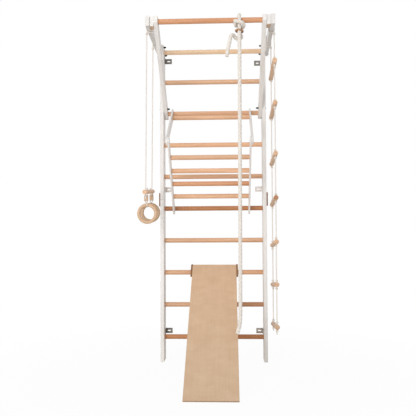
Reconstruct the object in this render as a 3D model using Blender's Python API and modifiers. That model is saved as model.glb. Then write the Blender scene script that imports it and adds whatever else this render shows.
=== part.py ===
"""Home wall bars: a wall-fixed ladder frame with a pull-up bar, and the pieces that hang or hook on it.

Metres, +Z up. The floor is Z = 0, the room's wall is the plane Y = 0 and the user stands at -Y.
Run it with blender --background --python part.py, or from Blender's text editor.
"""
import math

import bmesh
import bpy
from mathutils import Matrix, Vector

OBJECT_NAME = "home_wall_bars"

# Clearances and edges
GAP = 0.0003                    # left between pieces that touch
HOOK_CLEARANCE = 0.0005         # between a rung and a hook's notch, on the radius
CORD_CLEARANCE = 0.0006         # between a cord and its hole, on the radius
BOARD_ROUND = 0.0025            # rounding of the boards' edges
PLY_ROUND = 0.001               # rounding of the plywood's edges
ROD_CHAMFER = 0.002             # on the ends of rods
ROD_SIDES = 24
SHARP_ANGLE = math.radians(40)  # edges sharper than this are rounded
ARC_STEPS = 14                  # in a half circle of an outline

# Wall frame
FRAME_WIDTH = 0.800
UPRIGHT_HEIGHT = 2.398
UPRIGHT_DEPTH = 0.120
BOARD_THICKNESS = 0.027         # uprights, arms, braces and spacers
SPLICE_HEIGHT = 1.215           # where each upright's two halves meet
RUNG_COUNT = 10
RUNG_DIAMETER = 0.035
RUNG_TOP_DROP = 0.0445          # from the uprights' tops to the first rung's axis
RUNG_FIRST_STEP = 0.2342        # from the first rung down to the second
RUNG_FOOT = 0.1777              # from the floor to the last rung's axis
SOCKET_DEPTH = 0.015

# Splice plates and wall brackets
SPLICE_PLATE = (0.010, 0.090, 0.101)        # X, Y, Z
BRACKET_TOP_DROP = 0.108        # from the uprights' tops to the top brackets' middles
BRACKET_TOP_SKEW = 0.012        # of the left top bracket above that place, and of the right one below it
BRACKET_SPLICE_RISE = 0.082     # from the uprights' joints to the middle brackets' middles
BRACKET_FOOT_RISE = 0.0353      # from the last rung's axis to the bottom brackets' middles
BRACKET_WALL_LEG = 0.052
BRACKET_SIDE_LEG = 0.045
BRACKET_HEIGHT = 0.040
BRACKET_THICKNESS = 0.0025
BRACKET_SLOT = (0.024, 0.009)               # length and width

# Arms, braces and pull-up bar
ARM_REACH = 0.684               # from the wall to the arms' front ends
ARM_HEIGHT = 0.066
BAR_DIAMETER = 0.035
BAR_SETBACK = 0.034             # from the arms' front ends to the bar's axis
BAR_RISE = 0.0045               # of the bar's axis above the arms' middle
BRACE_WIDTH = 0.066
BRACE_RUNG = 3                  # the rung that the braces are threaded on
BRACE_TAIL = 0.035              # below that rung's axis
BRACE_WALL_SPACE = 0.004
SPACER_RECESS = 0.012
SPACER_LENGTH = 0.072

# Climbing rope
ROPE_DIAMETER = 0.026
ROPE_X = 0.193
ROPE_WRAP_SPACE = 0.002         # between the standing part and the turn round it

# Hinged ladder insert
INSERT_CENTRE = -0.0135
INSERT_CLEAR_WIDTH = 0.5545     # between the lower plates
INSERT_PLATE_THICKNESS = 0.012
INSERT_PLATE_WIDTH = 0.060
INSERT_HOOK_RADIUS = 0.036
INSERT_HOOK_RUNG = 3
INSERT_LEAN_RUNG = 6
INSERT_REACH = 0.420            # from the hook's rung to the apex, along Y
INSERT_DROP = 0.277             # from the hook's rung to the apex, along Z
INSERT_TAIL = 0.012             # of the lower plates past the rung that they lean on
INSERT_RUNG_DIAMETER = 0.034
INSERT_SOCKET_DEPTH = 0.007
INSERT_TOP_RUNG = 0.082         # from the hook's rung, along the upper plates
INSERT_FIRST_RUNG = 0.133       # from the apex, along the lower plates
INSERT_RUNG_PITCH = 0.1115
INSERT_LOWER_RUNGS = 4

# Slide board
SLIDE_CENTRE = 0.0057
SLIDE_WIDTH = 0.328
SLIDE_LENGTH = 1.200
SLIDE_THICKNESS = 0.012
SLIDE_RUNG = 8
SLIDE_RISE = 0.051              # from the rung's axis square up to the board's underside
SLIDE_PAST_RUNG = 0.015         # of the board beyond the rung
SLIDE_HOOK_THICKNESS = 0.012
SLIDE_HOOK_LENGTH = 0.115       # along the board
SLIDE_HOOK_FRONT = 0.014        # depth of its front end, square to the board
SLIDE_HOOK_WALL = 0.017         # of material behind the rung
SLIDE_HOOK_LIP = 0.026          # below the rung's axis

# Cords that hang from the outer arms
CORD_DIAMETER = 0.008
KNOT_DIAMETER = 0.0135
KNOT_LENGTH = 0.020
CORD_END = 0.012                # of cord past its last knot
CORD_FRONT = 0.104              # from the arms' front ends to the near cords

# Trapeze and rings
TRAPEZE_CORD_SPACING = 0.300
TRAPEZE_DROP = 1.0775           # from the arms' undersides to the bar's axis
TRAPEZE_LEAN = 0.009            # of the bar outward from where its cords leave the arm
TRAPEZE_TILT = math.radians(4.2)            # its wall end hangs higher
TRAPEZE_BAR_DIAMETER = 0.030
TRAPEZE_BAR_LENGTH = 0.400
RING_DIAMETER = 0.141
RING_TUBE = 0.0235
RING_DROP = 0.1493              # from the trapeze bar's axis to the rings' centres
RING_SPACING = 0.145
RING_CORD_DIAMETER = 0.006
RING_KNOT_DIAMETER = 0.010
RING_KNOT_LENGTH = 0.012
ADJUSTER = (0.026, 0.018, 0.038)            # X, Y, Z
ADJUSTER_HOLES = 0.016                      # spacing along X
ADJUSTER_SPACE = 0.010                      # from the trapeze bar down to the adjuster

# Rope ladder
LADDER_CORD_SPACING = 0.290
LADDER_CORD_SHIFT = 0.040       # of its near cord from the trapeze's, along Y
LADDER_RUNG_DIAMETER = 0.033
LADDER_RUNG_LENGTH = 0.350
LADDER_TILT = math.radians(5.8)             # its wall ends hang lower
LADDER_FIRST_DROP = 0.223       # from the arm's underside to the first rung's axis
LADDER_PITCH = 0.2977
LADDER_UNEVEN = (0.964, 1.149, 0.998, 0.988, 0.954, 0.947)      # steps as tied, in pitches

# Colours
RUNG_COLOURS = ("eaceb0", "dfb694", "dbae8e", "deb594", "d8ad8b",
                "ae7552", "dbae8a", "d9b293", "d4a98a", "c59675")

# Places that follow from the sizes
INNER_FACE = FRAME_WIDTH / 2 - BOARD_THICKNESS
ARM_INNER = FRAME_WIDTH / 2 + GAP
ARM_OUTER = ARM_INNER + BOARD_THICKNESS
ARM_BOTTOM = UPRIGHT_HEIGHT - ARM_HEIGHT
BRACE_OUTER = INNER_FACE - GAP
BRACE_INNER = BRACE_OUTER - BOARD_THICKNESS
RUNG_Y = -UPRIGHT_DEPTH / 2
RUNG_PITCH = (UPRIGHT_HEIGHT - RUNG_TOP_DROP - RUNG_FIRST_STEP - RUNG_FOOT) / (RUNG_COUNT - 2)
BRACKET_HEIGHTS = {"top": UPRIGHT_HEIGHT - BRACKET_TOP_DROP, "middle": SPLICE_HEIGHT + BRACKET_SPLICE_RISE,
                   "bottom": RUNG_FOOT + BRACKET_FOOT_RISE}
BAR_Y = BAR_SETBACK - ARM_REACH
ARM_Z = UPRIGHT_HEIGHT - ARM_HEIGHT / 2
BAR_Z = ARM_Z + BAR_RISE
HANG_X = ARM_OUTER + CORD_DIAMETER / 2 + GAP
NEAR_CORD_Y = CORD_FRONT - ARM_REACH
TRAPEZE_Z = ARM_BOTTOM - TRAPEZE_DROP
TRAPEZE_Y = NEAR_CORD_Y + TRAPEZE_CORD_SPACING / 2
TRAPEZE_X = -HANG_X - TRAPEZE_LEAN
RINGS_Y = (TRAPEZE_Y - RING_SPACING / 2, TRAPEZE_Y + RING_SPACING / 2)
SIDES = (("left", -1), ("right", 1))

TURNS = {
    "X": Matrix.Rotation(math.pi / 2, 4, "Y"),
    "Y": Matrix.Rotation(-math.pi / 2, 4, "X"),
    "Z": Matrix.Identity(4),
    "plate": Matrix(((0, 0, 1, 0), (1, 0, 0, 0), (0, 1, 0, 0), (0, 0, 0, 1))),
}


def rung_height(number):
    """Height of a wall rung's axis, the top rung being number 1."""
    first = UPRIGHT_HEIGHT - RUNG_TOP_DROP
    return first if number == 1 else first - RUNG_FIRST_STEP - (number - 2) * RUNG_PITCH


# Scene, materials and meshes
def clear_scene():
    """Remove what the file holds."""
    for old in list(bpy.data.objects):
        bpy.data.objects.remove(old, do_unlink=True)


def new_collection(name):
    """A collection linked to the scene."""
    collection = bpy.data.collections.new(name)
    bpy.context.scene.collection.children.link(collection)
    return collection


def linear(hex_colour):
    """Linear RGBA of a colour written as six hex digits."""
    parts = [int(hex_colour[i:i + 2], 16) / 255 for i in (0, 2, 4)]
    return (*(c / 12.92 if c <= 0.04045 else ((c + 0.055) / 1.055) ** 2.4 for c in parts), 1.0)


def finish(name, colour, roughness, metallic=0.0):
    """A Principled material."""
    material = bpy.data.materials.new(name)
    material.use_nodes = True
    shader = material.node_tree.nodes["Principled BSDF"]
    shader.inputs["Base Color"].default_value = linear(colour)
    shader.inputs["Roughness"].default_value = roughness
    shader.inputs["Metallic"].default_value = metallic
    material.diffuse_color = linear(colour)
    return material


def mesh_from(bm, name):
    """A mesh with outward faces from a finished bmesh."""
    bmesh.ops.recalc_face_normals(bm, faces=bm.faces)
    mesh = bpy.data.meshes.new(name)
    bm.to_mesh(mesh)
    bm.free()
    return mesh


def box(size):
    """A box round the origin."""
    bm = bmesh.new()
    bmesh.ops.create_cube(bm, size=1.0, matrix=Matrix.Diagonal((*size, 1.0)))
    return mesh_from(bm, "box")


def rod(diameter, length, sides=ROD_SIDES):
    """A rod along Z round the origin."""
    bm = bmesh.new()
    bmesh.ops.create_cone(bm, cap_ends=True, segments=sides, depth=length,
                          radius1=diameter / 2, radius2=diameter / 2)
    return mesh_from(bm, "rod")


def prism(outline, thickness):
    """A flat outline of (x, y) points, filled and given a thickness along Z about Z = 0."""
    curve = bpy.data.curves.new("outline", "CURVE")
    curve.dimensions = "2D"
    curve.fill_mode = "BOTH"
    curve.extrude = thickness / 2
    spline = curve.splines.new("POLY")
    spline.points.add(len(outline) - 1)
    spline.use_cyclic_u = True
    for point, (x, y) in zip(spline.points, outline):
        point.co = (x, y, 0.0, 1.0)
    flat = bpy.data.objects.new("outline", curve)
    mesh = bpy.data.meshes.new_from_object(flat)
    bpy.data.objects.remove(flat)
    bpy.data.curves.remove(curve)
    bm = bmesh.new()
    bm.from_mesh(mesh)
    bpy.data.meshes.remove(mesh)
    bmesh.ops.remove_doubles(bm, verts=bm.verts, dist=1e-6)
    bmesh.ops.dissolve_limit(bm, angle_limit=math.radians(1), verts=bm.verts, edges=bm.edges)
    return mesh_from(bm, "prism")


def torus(diameter, tube):
    """A round ring in the XZ plane."""
    bpy.ops.mesh.primitive_torus_add(major_radius=(diameter - tube) / 2, minor_radius=tube / 2,
                                     major_segments=32, minor_segments=10)
    made = bpy.context.object
    mesh = made.data
    bpy.data.objects.remove(made)
    mesh.transform(TURNS["Y"])
    return mesh


def group(solids):
    """One mesh of separate solids, given as (mesh, matrix)."""
    bm = bmesh.new()
    for mesh, place in solids:
        copy = mesh.copy()
        copy.transform(place)
        bm.from_mesh(copy)
        bpy.data.meshes.remove(copy)
    return mesh_from(bm, "group")


def bore(diameter, length):
    """A cutter for a cord's hole, turned a little so that its edges miss those of the rod it goes through."""
    mesh = rod(diameter + 2 * CORD_CLEARANCE, length, 10)
    mesh.transform(Matrix.Rotation(math.radians(7), 4, "Z"))
    return mesh


def at(x, y, z, turn="Z"):
    """A place, with one of the named turns."""
    return Matrix.Translation((x, y, z)) @ TURNS[turn]


# Outlines
def arc(centre, radius, start, stop):
    """Points on an arc between two angles, with as many steps as its sweep needs."""
    steps = max(2, round(ARC_STEPS * abs(stop - start) / math.pi))
    return [(centre[0] + radius * math.cos(start + (stop - start) * i / steps),
             centre[1] + radius * math.sin(start + (stop - start) * i / steps))
            for i in range(steps + 1)]


def round_ended(first, first_radius, last, last_radius):
    """Outline of a bar with round ends of two radii, joined by straight tangents."""
    along = Vector(last) - Vector(first)
    heading = math.atan2(along.y, along.x)
    lean = math.acos((first_radius - last_radius) / along.length)
    return (arc(last, last_radius, heading - lean, heading + lean)
            + arc(first, first_radius, heading + lean, heading - lean + 2 * math.pi))


def crossing(point, direction, axis, value):
    """Where a line of the YZ plane meets a line on which one coordinate is fixed."""
    return tuple(Vector(point) + Vector(direction) * ((value - point[axis]) / direction[axis]))


# Pieces
def pivot(name, place, parent=None):
    """An empty that carries the pieces of one body, on its joint's axis."""
    empty = bpy.data.objects.new(name, None)
    empty.empty_display_size = 0.05
    PARTS.objects.link(empty)
    empty.parent = parent
    empty.location = Vector(place) - (parent.matrix_world.translation if parent else Vector())
    bpy.context.view_layer.update()
    return empty


def carry(piece, parent):
    """Hang a piece on its body's empty without moving it."""
    piece.parent = parent
    piece.matrix_parent_inverse = parent.matrix_world.inverted()
    return piece


def piece(name, mesh, material, parent, place=None, edge=0.0, segments=2):
    """One named sub-part, its sharp edges rounded where an edge size is given."""
    mesh = mesh.copy()
    mesh.name = name
    mesh.materials.clear()
    mesh.materials.append(material)
    mesh.shade_smooth()
    mesh.set_sharp_from_angle(angle=SHARP_ANGLE)
    made = bpy.data.objects.new(name, mesh)
    PARTS.objects.link(made)
    made.matrix_basis = place or Matrix.Identity(4)
    if edge:
        rounding = made.modifiers.new("edges", "BEVEL")
        rounding.width = edge
        rounding.segments = segments
        rounding.limit_method = "ANGLE"
        rounding.angle_limit = SHARP_ANGLE
    return carry(made, parent)


def cut(target, solids):
    """Cut solids, given as (mesh, matrix) in the world, from a piece with one Boolean."""
    cutter = bpy.data.objects.new(f"cut_{target.name}", group(solids))
    CUTTERS.objects.link(cutter)
    cutter.hide_render = True
    cutter.display_type = "WIRE"
    boolean = target.modifiers.new("cut", "BOOLEAN")
    boolean.operation = "DIFFERENCE"
    boolean.solver = "EXACT"
    boolean.object = cutter


def tube(name, route, diameter, material, parent, resolution=1):
    """A cord along a route of (point, thickness factor)."""
    curve = bpy.data.curves.new(name, "CURVE")
    curve.dimensions = "3D"
    curve.bevel_depth = diameter / 2
    curve.bevel_resolution = resolution
    curve.use_fill_caps = True
    spline = curve.splines.new("POLY")
    spline.points.add(len(route) - 1)
    for point, (place, factor) in zip(spline.points, route):
        point.co = (*place, 1.0)
        point.radius = factor
    curve.materials.append(material)
    made = bpy.data.objects.new(name, curve)
    PARTS.objects.link(made)
    return carry(made, parent)


def plain(points):
    """A route of constant thickness."""
    return [(Vector(point), 1.0) for point in points]


def knot(middle, direction, length, factor):
    """A swelling along a straight stretch, for a knot."""
    profile = ((-0.5, 1.0), (-0.22, factor), (0.22, factor), (0.5, 1.0))
    return [(Vector(middle) + Vector(direction) * length * t, thick) for t, thick in profile]


def smooth(points, spans):
    """A Catmull-Rom curve through points, each stretch in a number of spans."""
    points = [Vector(p) for p in points]
    ends = [2 * points[0] - points[1], *points, 2 * points[-1] - points[-2]]
    made = []
    for a, b, c, d in zip(ends, ends[1:], ends[2:], ends[3:]):
        for i in range(spans):
            t = i / spans
            made.append(0.5 * (2 * b + (c - a) * t + (2 * a - 5 * b + 4 * c - d) * t ** 2
                               + (3 * b - a - 3 * c + d) * t ** 3))
    return made + [points[-1]]


def report_gap(name, points, diameter):
    """Print the least clear distance between stretches of a cord that aren't neighbours along it."""
    fine = []
    for a, b in zip(points, points[1:]):
        steps = max(1, math.ceil((b - a).length / (diameter / 4)))
        fine += [a.lerp(b, i / steps) for i in range(steps)]
    walked = [0.0]
    for a, b in zip(fine, fine[1:]):
        walked.append(walked[-1] + (b - a).length)
    least = min((fine[i] - fine[j]).length for i in range(len(fine)) for j in range(i)
                if walked[i] - walked[j] > 2.2 * diameter)
    print(f"{name}: {walked[-1]:.3f} m long, least gap to itself {(least - diameter) * 1000:.2f} mm")


# Wall frame
def brace_direction():
    """Unit direction (y, z) of a brace, from the pull-up bar down to its rung."""
    return Vector((RUNG_Y - BAR_Y, rung_height(BRACE_RUNG) - BAR_Z)).normalized()


def build_frame(root):
    """Uprights in halves, wall rungs, splice plates and wall brackets."""
    socket = rod(RUNG_DIAMETER + 2 * GAP, 2 * SOCKET_DEPTH)
    centre = FRAME_WIDTH / 2 - BOARD_THICKNESS / 2
    plate_x = FRAME_WIDTH / 2 + GAP + SPLICE_PLATE[0] / 2
    halves = (("lower", 0.0, SPLICE_HEIGHT - GAP / 2), ("upper", SPLICE_HEIGHT + GAP / 2, UPRIGHT_HEIGHT))
    for name, side in SIDES:
        sockets = [at(side * INNER_FACE, RUNG_Y, rung_height(n), "X") for n in range(1, RUNG_COUNT + 1)]
        for half, low, high in halves:
            upright = piece(f"{name}_upright_{half}", box((BOARD_THICKNESS, UPRIGHT_DEPTH, high - low)),
                            WHITE, root, at(side * centre, RUNG_Y, (low + high) / 2), BOARD_ROUND)
            cut(upright, [(socket, place) for place in sockets
                          if low - RUNG_DIAMETER < place.translation.z < high + RUNG_DIAMETER])
        piece(f"{name}_splice_plate", box(SPLICE_PLATE), PLYWOOD, root,
              at(side * plate_x, RUNG_Y, SPLICE_HEIGHT), PLY_ROUND)
        build_brackets(root, name, side)
    length = 2 * (INNER_FACE + SOCKET_DEPTH - GAP)
    for n in range(1, RUNG_COUNT + 1):
        beech = finish(f"beech_rung_{n:02d}", RUNG_COLOURS[(n - 1) % len(RUNG_COLOURS)], 0.5)
        piece(f"rung_{n:02d}", rod(RUNG_DIAMETER, length), beech, root,
              at(0, RUNG_Y, rung_height(n), "X"))


def build_brackets(root, name, side):
    """One side's angle brackets, from the upright's inner face to the wall, each with a slot."""
    thick, wide, deep = BRACKET_THICKNESS, BRACKET_WALL_LEG, BRACKET_SIDE_LEG
    leg = side * (INNER_FACE - GAP)
    outline = [(leg, 0), (leg, -deep), (leg - side * thick, -deep), (leg - side * thick, -thick),
               (leg - side * wide, -thick), (leg - side * wide, 0)]
    angle = prism(outline, BRACKET_HEIGHT)
    length, width = BRACKET_SLOT
    reach = (length - width) / 2
    slot = prism(round_ended((-reach, 0), width / 2, (reach, 0), width / 2), 4 * thick)
    slot_x = leg - side * (wide + thick) / 2
    for level, height in BRACKET_HEIGHTS.items():
        height -= side * BRACKET_TOP_SKEW if level == "top" else 0.0
        bracket = piece(f"{name}_{level}_bracket", angle, WHITE_METAL if level == "middle" else STEEL, root,
                        at(0, 0, height))
        cut(bracket, [(slot, at(slot_x, 0, height, "Y"))])


def brace_outline():
    """A brace's outline: a sloping board cut off upright at the front and level at its top and foot."""
    lean = brace_direction()
    square = Vector((lean.y, -lean.x)) * BRACE_WIDTH / 2
    bar, foot = Vector((BAR_Y, BAR_Z)), rung_height(BRACE_RUNG) - BRACE_TAIL
    under, over = bar + square, bar - square
    if under.y > over.y:
        under, over = over, under
    return [crossing(under, lean, 0, -ARM_REACH), (-ARM_REACH, UPRIGHT_HEIGHT),
            crossing(over, lean, 1, UPRIGHT_HEIGHT), crossing(over, lean, 0, -BRACE_WALL_SPACE),
            (-BRACE_WALL_SPACE, foot), crossing(under, lean, 1, foot)]


def build_arms(root):
    """Outer arms, inner braces, spacers and the pull-up bar."""
    bar_bore = rod(BAR_DIAMETER + 2 * GAP, 2 * BOARD_THICKNESS)
    bar_socket = rod(BAR_DIAMETER + 2 * GAP, 2 * SOCKET_DEPTH)
    rung_bore = rod(RUNG_DIAMETER + 2 * GAP, 2 * BOARD_THICKNESS)
    for name, side in SIDES:
        arm = piece(f"{name}_outer_arm", box((BOARD_THICKNESS, ARM_REACH, ARM_HEIGHT)), WHITE, root,
                    at(side * (ARM_INNER + ARM_OUTER) / 2, -ARM_REACH / 2, ARM_Z), BOARD_ROUND)
        cut(arm, [(bar_socket, at(side * ARM_INNER, BAR_Y, BAR_Z, "X"))])
        middle = side * (BRACE_INNER + BRACE_OUTER) / 2
        brace = piece(f"{name}_brace", prism(brace_outline(), BOARD_THICKNESS), WHITE, root,
                      at(middle, 0, 0, "plate"), BOARD_ROUND)
        cut(brace, [(bar_bore, at(middle, BAR_Y, BAR_Z, "X")),
                    (rung_bore, at(middle, RUNG_Y, rung_height(BRACE_RUNG), "X"))])
        wide = ARM_INNER - BRACE_OUTER - 2 * GAP
        spacer_x = side * (ARM_INNER + BRACE_OUTER) / 2
        spacer = piece(f"{name}_spacer", box((wide, SPACER_LENGTH, ARM_HEIGHT)), WHITE, root,
                       at(spacer_x, SPACER_RECESS - ARM_REACH + SPACER_LENGTH / 2, ARM_Z), BOARD_ROUND)
        cut(spacer, [(bar_bore, at(spacer_x, BAR_Y, BAR_Z, "X"))])
    piece("pull_up_bar", rod(BAR_DIAMETER, 2 * (ARM_INNER + SOCKET_DEPTH - GAP)),
          finish("beech_bar", "d9a785", 0.5), root, at(0, BAR_Y, BAR_Z, "X"))


# Climbing rope
def build_rope(root):
    """The climbing rope: over the bar, round its own standing part, down beside it and off as a tail."""
    bend = (BAR_DIAMETER + ROPE_DIAMETER) / 2 + CORD_CLEARANCE
    wrap = ROPE_DIAMETER + ROPE_WRAP_SPACE
    corner = Vector((ROPE_X, BAR_Y - bend, BAR_Z))
    lower_end = [(-0.0265, 0.000, -2.0465), (-0.0215, 0.000, -2.0245), (-0.0135, 0.000, -1.998),
                 (-0.0088, 0.000, -1.958), (-0.0068, 0.000, -1.906), (-0.0066, 0.000, -1.836)]
    standing = [(-0.0053, 0, -1.6), (-0.0034, 0, -1.2), (-0.0015, 0, -0.6), (0, 0, -0.16), (0, 0, -0.08)]
    over = [(0, bend - bend * math.cos(math.pi * i / 9), bend * math.sin(math.pi * i / 9))
            for i in range(10)]
    down = [(-0.003, 2 * bend - 0.001, -0.012), (-0.012, 0.050, -0.0285), (-0.023, 0.028, -0.0345),
            (-0.027, 0.012, -0.0265)]
    turn = [(wrap * math.cos(math.radians(a)), wrap * math.sin(math.radians(a)), -0.0165 - 0.0435 * (a - 180) / 270)
            for a in range(180, 451, 18)]
    through = [(0, wrap, -0.072), (0, wrap, -0.088)]
    tail = smooth([(0.001, wrap, -0.092), (0.013, 0.030, -0.105), (0.005, 0.033, -0.123),
                   (-0.020, 0.031, -0.121), (-0.042, 0.015, -0.104), (-0.055, 0.001, -0.116),
                   (-0.066, -0.003, -0.160), (-0.076, -0.005, -0.208), (-0.083, -0.006, -0.2515)], 3)
    points = [corner + Vector(p) for p in
              smooth(lower_end, 2) + standing + over + down + turn + through + tail]
    report_gap("climbing_rope", points, ROPE_DIAMETER)
    tube("climbing_rope", plain(points), ROPE_DIAMETER, COTTON, root, 2)


# Hinged ladder insert
def insert_points():
    """Hook axis, apex, lower direction and lower end of the insert, as (y, z)."""
    hook = Vector((RUNG_Y, rung_height(INSERT_HOOK_RUNG)))
    apex = hook + Vector((-INSERT_REACH, -INSERT_DROP))
    to_rung = Vector((RUNG_Y, rung_height(INSERT_LEAN_RUNG))) - apex
    off = RUNG_DIAMETER / 2 + GAP + INSERT_PLATE_WIDTH / 2
    heading = math.atan2(to_rung.y, to_rung.x) - math.asin(off / to_rung.length)
    along = Vector((math.cos(heading), math.sin(heading)))
    reach = math.sqrt(to_rung.length ** 2 - off ** 2) + INSERT_TAIL - INSERT_PLATE_WIDTH / 2
    return hook, apex, along, apex + along * reach


def build_insert(body):
    """Two hooked upper plates, two lower plates that lean on a rung, and five rungs."""
    hook, apex, along, end = insert_points()
    upper_along = (apex - hook).normalized()
    top_rung = hook + upper_along * INSERT_TOP_RUNG
    rungs = [apex + along * (INSERT_FIRST_RUNG + i * INSERT_RUNG_PITCH) for i in range(INSERT_LOWER_RUNGS)]
    half, thick = INSERT_PLATE_WIDTH / 2, INSERT_PLATE_THICKNESS
    upper = prism(round_ended(apex, half, hook, INSERT_HOOK_RADIUS), thick)
    lower = prism(round_ended(apex, half, end, half), thick)
    notch_radius = RUNG_DIAMETER / 2 + HOOK_CLEARANCE
    below = hook - Vector((0, 2 * INSERT_HOOK_RADIUS))
    notch = prism(round_ended(hook, notch_radius, below, notch_radius), 2 * thick)
    socket = rod(INSERT_RUNG_DIAMETER + 2 * GAP, 2 * INSERT_SOCKET_DEPTH)
    lower_inner = INSERT_CLEAR_WIDTH / 2
    upper_inner = lower_inner + thick + GAP
    for name, side in SIDES:
        upper_x = INSERT_CENTRE + side * (upper_inner + thick / 2)
        lower_x = INSERT_CENTRE + side * (lower_inner + thick / 2)
        plate = piece(f"insert_{name}_upper_plate", upper, WHITE, body, at(upper_x, 0, 0, "plate"), BOARD_ROUND, 1)
        socket_x = INSERT_CENTRE + side * upper_inner
        cut(plate, [(notch, at(upper_x, 0, 0, "plate")), (socket, at(socket_x, *top_rung, "X"))])
        plate = piece(f"insert_{name}_lower_plate", lower, WHITE, body, at(lower_x, 0, 0, "plate"), BOARD_ROUND, 1)
        socket_x = INSERT_CENTRE + side * lower_inner
        cut(plate, [(socket, at(socket_x, *rung, "X")) for rung in rungs])
    beech = finish("beech_insert", "d9b08f", 0.5)
    widths = [upper_inner] + [lower_inner] * len(rungs)
    for i, (rung, inner) in enumerate(zip([top_rung, *rungs], widths), 1):
        length = 2 * (inner + INSERT_SOCKET_DEPTH - GAP)
        piece(f"insert_rung_{i}", rod(INSERT_RUNG_DIAMETER, length), beech, body,
              at(INSERT_CENTRE, *rung, "X"))


# Slide board
def slide_slope():
    """The board's slope, from the rung's height, with its toe's lower corner on the floor."""
    run = SLIDE_LENGTH - SLIDE_PAST_RUNG
    return math.asin(rung_height(SLIDE_RUNG) / math.hypot(run, SLIDE_RISE)) + math.atan2(SLIDE_RISE, run)


def build_slide(body):
    """The sliding panel and its two hook plates, which hang on a rung."""
    slope = slide_slope()
    down = Vector((-math.cos(slope), -math.sin(slope)))
    up = Vector((-math.sin(slope), math.cos(slope)))
    rung = Vector((RUNG_Y, rung_height(SLIDE_RUNG)))
    top = rung + up * (SLIDE_RISE + SLIDE_THICKNESS) - down * SLIDE_PAST_RUNG
    middle = top + down * SLIDE_LENGTH / 2 - up * SLIDE_THICKNESS / 2
    piece("slide_panel", box((SLIDE_WIDTH, SLIDE_LENGTH, SLIDE_THICKNESS)), finish("slide_plywood", "d4b397", 0.45),
          body, at(SLIDE_CENTRE, *middle) @ Matrix.Rotation(slope, 4, "X"), PLY_ROUND, 1)
    notch_radius = RUNG_DIAMETER / 2 + HOOK_CLEARANCE
    back = rung.x + notch_radius + SLIDE_HOOK_WALL
    front = top + down * SLIDE_HOOK_LENGTH
    nose = front - up * SLIDE_HOOK_FRONT
    lip = rung.y - SLIDE_HOOK_LIP
    corner = Vector((back, top.y)) - Vector((SLIDE_HOOK_WALL, SLIDE_HOOK_WALL))
    outline = [tuple(front), tuple(nose), (nose.x, lip), (back, lip),
               *arc(corner, SLIDE_HOOK_WALL, 0, math.pi / 2), tuple(top)]
    below = rung - Vector((0, 4 * SLIDE_HOOK_LIP))
    notch = prism(round_ended(rung, notch_radius, below, notch_radius), 2 * SLIDE_HOOK_THICKNESS)
    for name, side in SIDES:
        x = SLIDE_CENTRE + side * (SLIDE_WIDTH / 2 + GAP + SLIDE_HOOK_THICKNESS / 2)
        hook = piece(f"slide_{name}_hook", prism(outline, SLIDE_HOOK_THICKNESS), DARK_PLY, body,
                     at(x, 0, 0, "plate"), PLY_ROUND, 1)
        cut(hook, [(notch, at(x, 0, 0, "plate"))])


# Hanging pieces
def arm_loop(side, y):
    """A cord's tied end: under the arm, up its inner face, over its top and down its outer face."""
    off = CORD_DIAMETER / 2 + GAP
    corners = (((ARM_INNER, ARM_BOTTOM), 270, 180), ((ARM_INNER, UPRIGHT_HEIGHT), 180, 90),
               ((ARM_OUTER, UPRIGHT_HEIGHT), 90, 0))
    start = (HANG_X - CORD_DIAMETER - 2 * GAP - off, ARM_BOTTOM - off)
    outline = [start] + [(x + off * math.cos(math.radians(a)), z + off * math.sin(math.radians(a)))
                         for (x, z), first, last in corners for a in (first, (first + last) / 2, last)]
    return plain([(side * x, y, z) for x, z in outline])


def tied_knot(side, y):
    """The knot that closes a cord's loop, just below the arm."""
    return knot((side * HANG_X, y, ARM_BOTTOM - CORD_DIAMETER - KNOT_LENGTH / 2), (0, 0, -1), KNOT_LENGTH,
                KNOT_DIAMETER / CORD_DIAMETER)


def trapeze_height(y):
    """Height of the trapeze bar's axis at a place along Y."""
    return TRAPEZE_Z + math.tan(TRAPEZE_TILT) * (y - TRAPEZE_Y)


def build_trapeze(body, ring_bodies):
    """A bar on two cords, and two rings that hang from the bar on cords with adjusters."""
    x, down, swell = TRAPEZE_X, (0, 0, -1), KNOT_DIAMETER / CORD_DIAMETER
    cords_y = (NEAR_CORD_Y, NEAR_CORD_Y + TRAPEZE_CORD_SPACING)
    for name, y in zip(("near", "far"), cords_y):
        knot_z = trapeze_height(y) - TRAPEZE_BAR_DIAMETER / 2 / math.cos(TRAPEZE_TILT) - 2 * GAP - KNOT_LENGTH / 2
        route = arm_loop(-1, y) + tied_knot(-1, y) + knot((x, y, knot_z), down, KNOT_LENGTH, swell)
        route += plain([(x, y, knot_z - KNOT_LENGTH / 2 - CORD_END)])
        report_gap(f"trapeze_cord_{name}", [p for p, _ in route], CORD_DIAMETER)
        tube(f"trapeze_cord_{name}", route, CORD_DIAMETER, COTTON, body)
    bar = piece("trapeze_bar", rod(TRAPEZE_BAR_DIAMETER, TRAPEZE_BAR_LENGTH), finish("beech_trapeze", "cfb196", 0.5), body,
                Matrix.Translation((x, TRAPEZE_Y, TRAPEZE_Z)) @ Matrix.Rotation(TRAPEZE_TILT, 4, "X") @ TURNS["Y"],
                ROD_CHAMFER, 1)
    cord_bore = bore(CORD_DIAMETER, 2 * TRAPEZE_BAR_DIAMETER)
    ring_bore = bore(RING_CORD_DIAMETER, 2 * TRAPEZE_BAR_DIAMETER)
    cut(bar, [(cord_bore, at(x, y, trapeze_height(y))) for y in cords_y]
        + [(ring_bore, at(x, y, trapeze_height(y))) for y in RINGS_Y])
    for name, y, shift, ring_body in zip(("near", "far"), RINGS_Y, (-1, 1), ring_bodies):
        build_ring(name, x, y, shift, ring_body)


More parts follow.
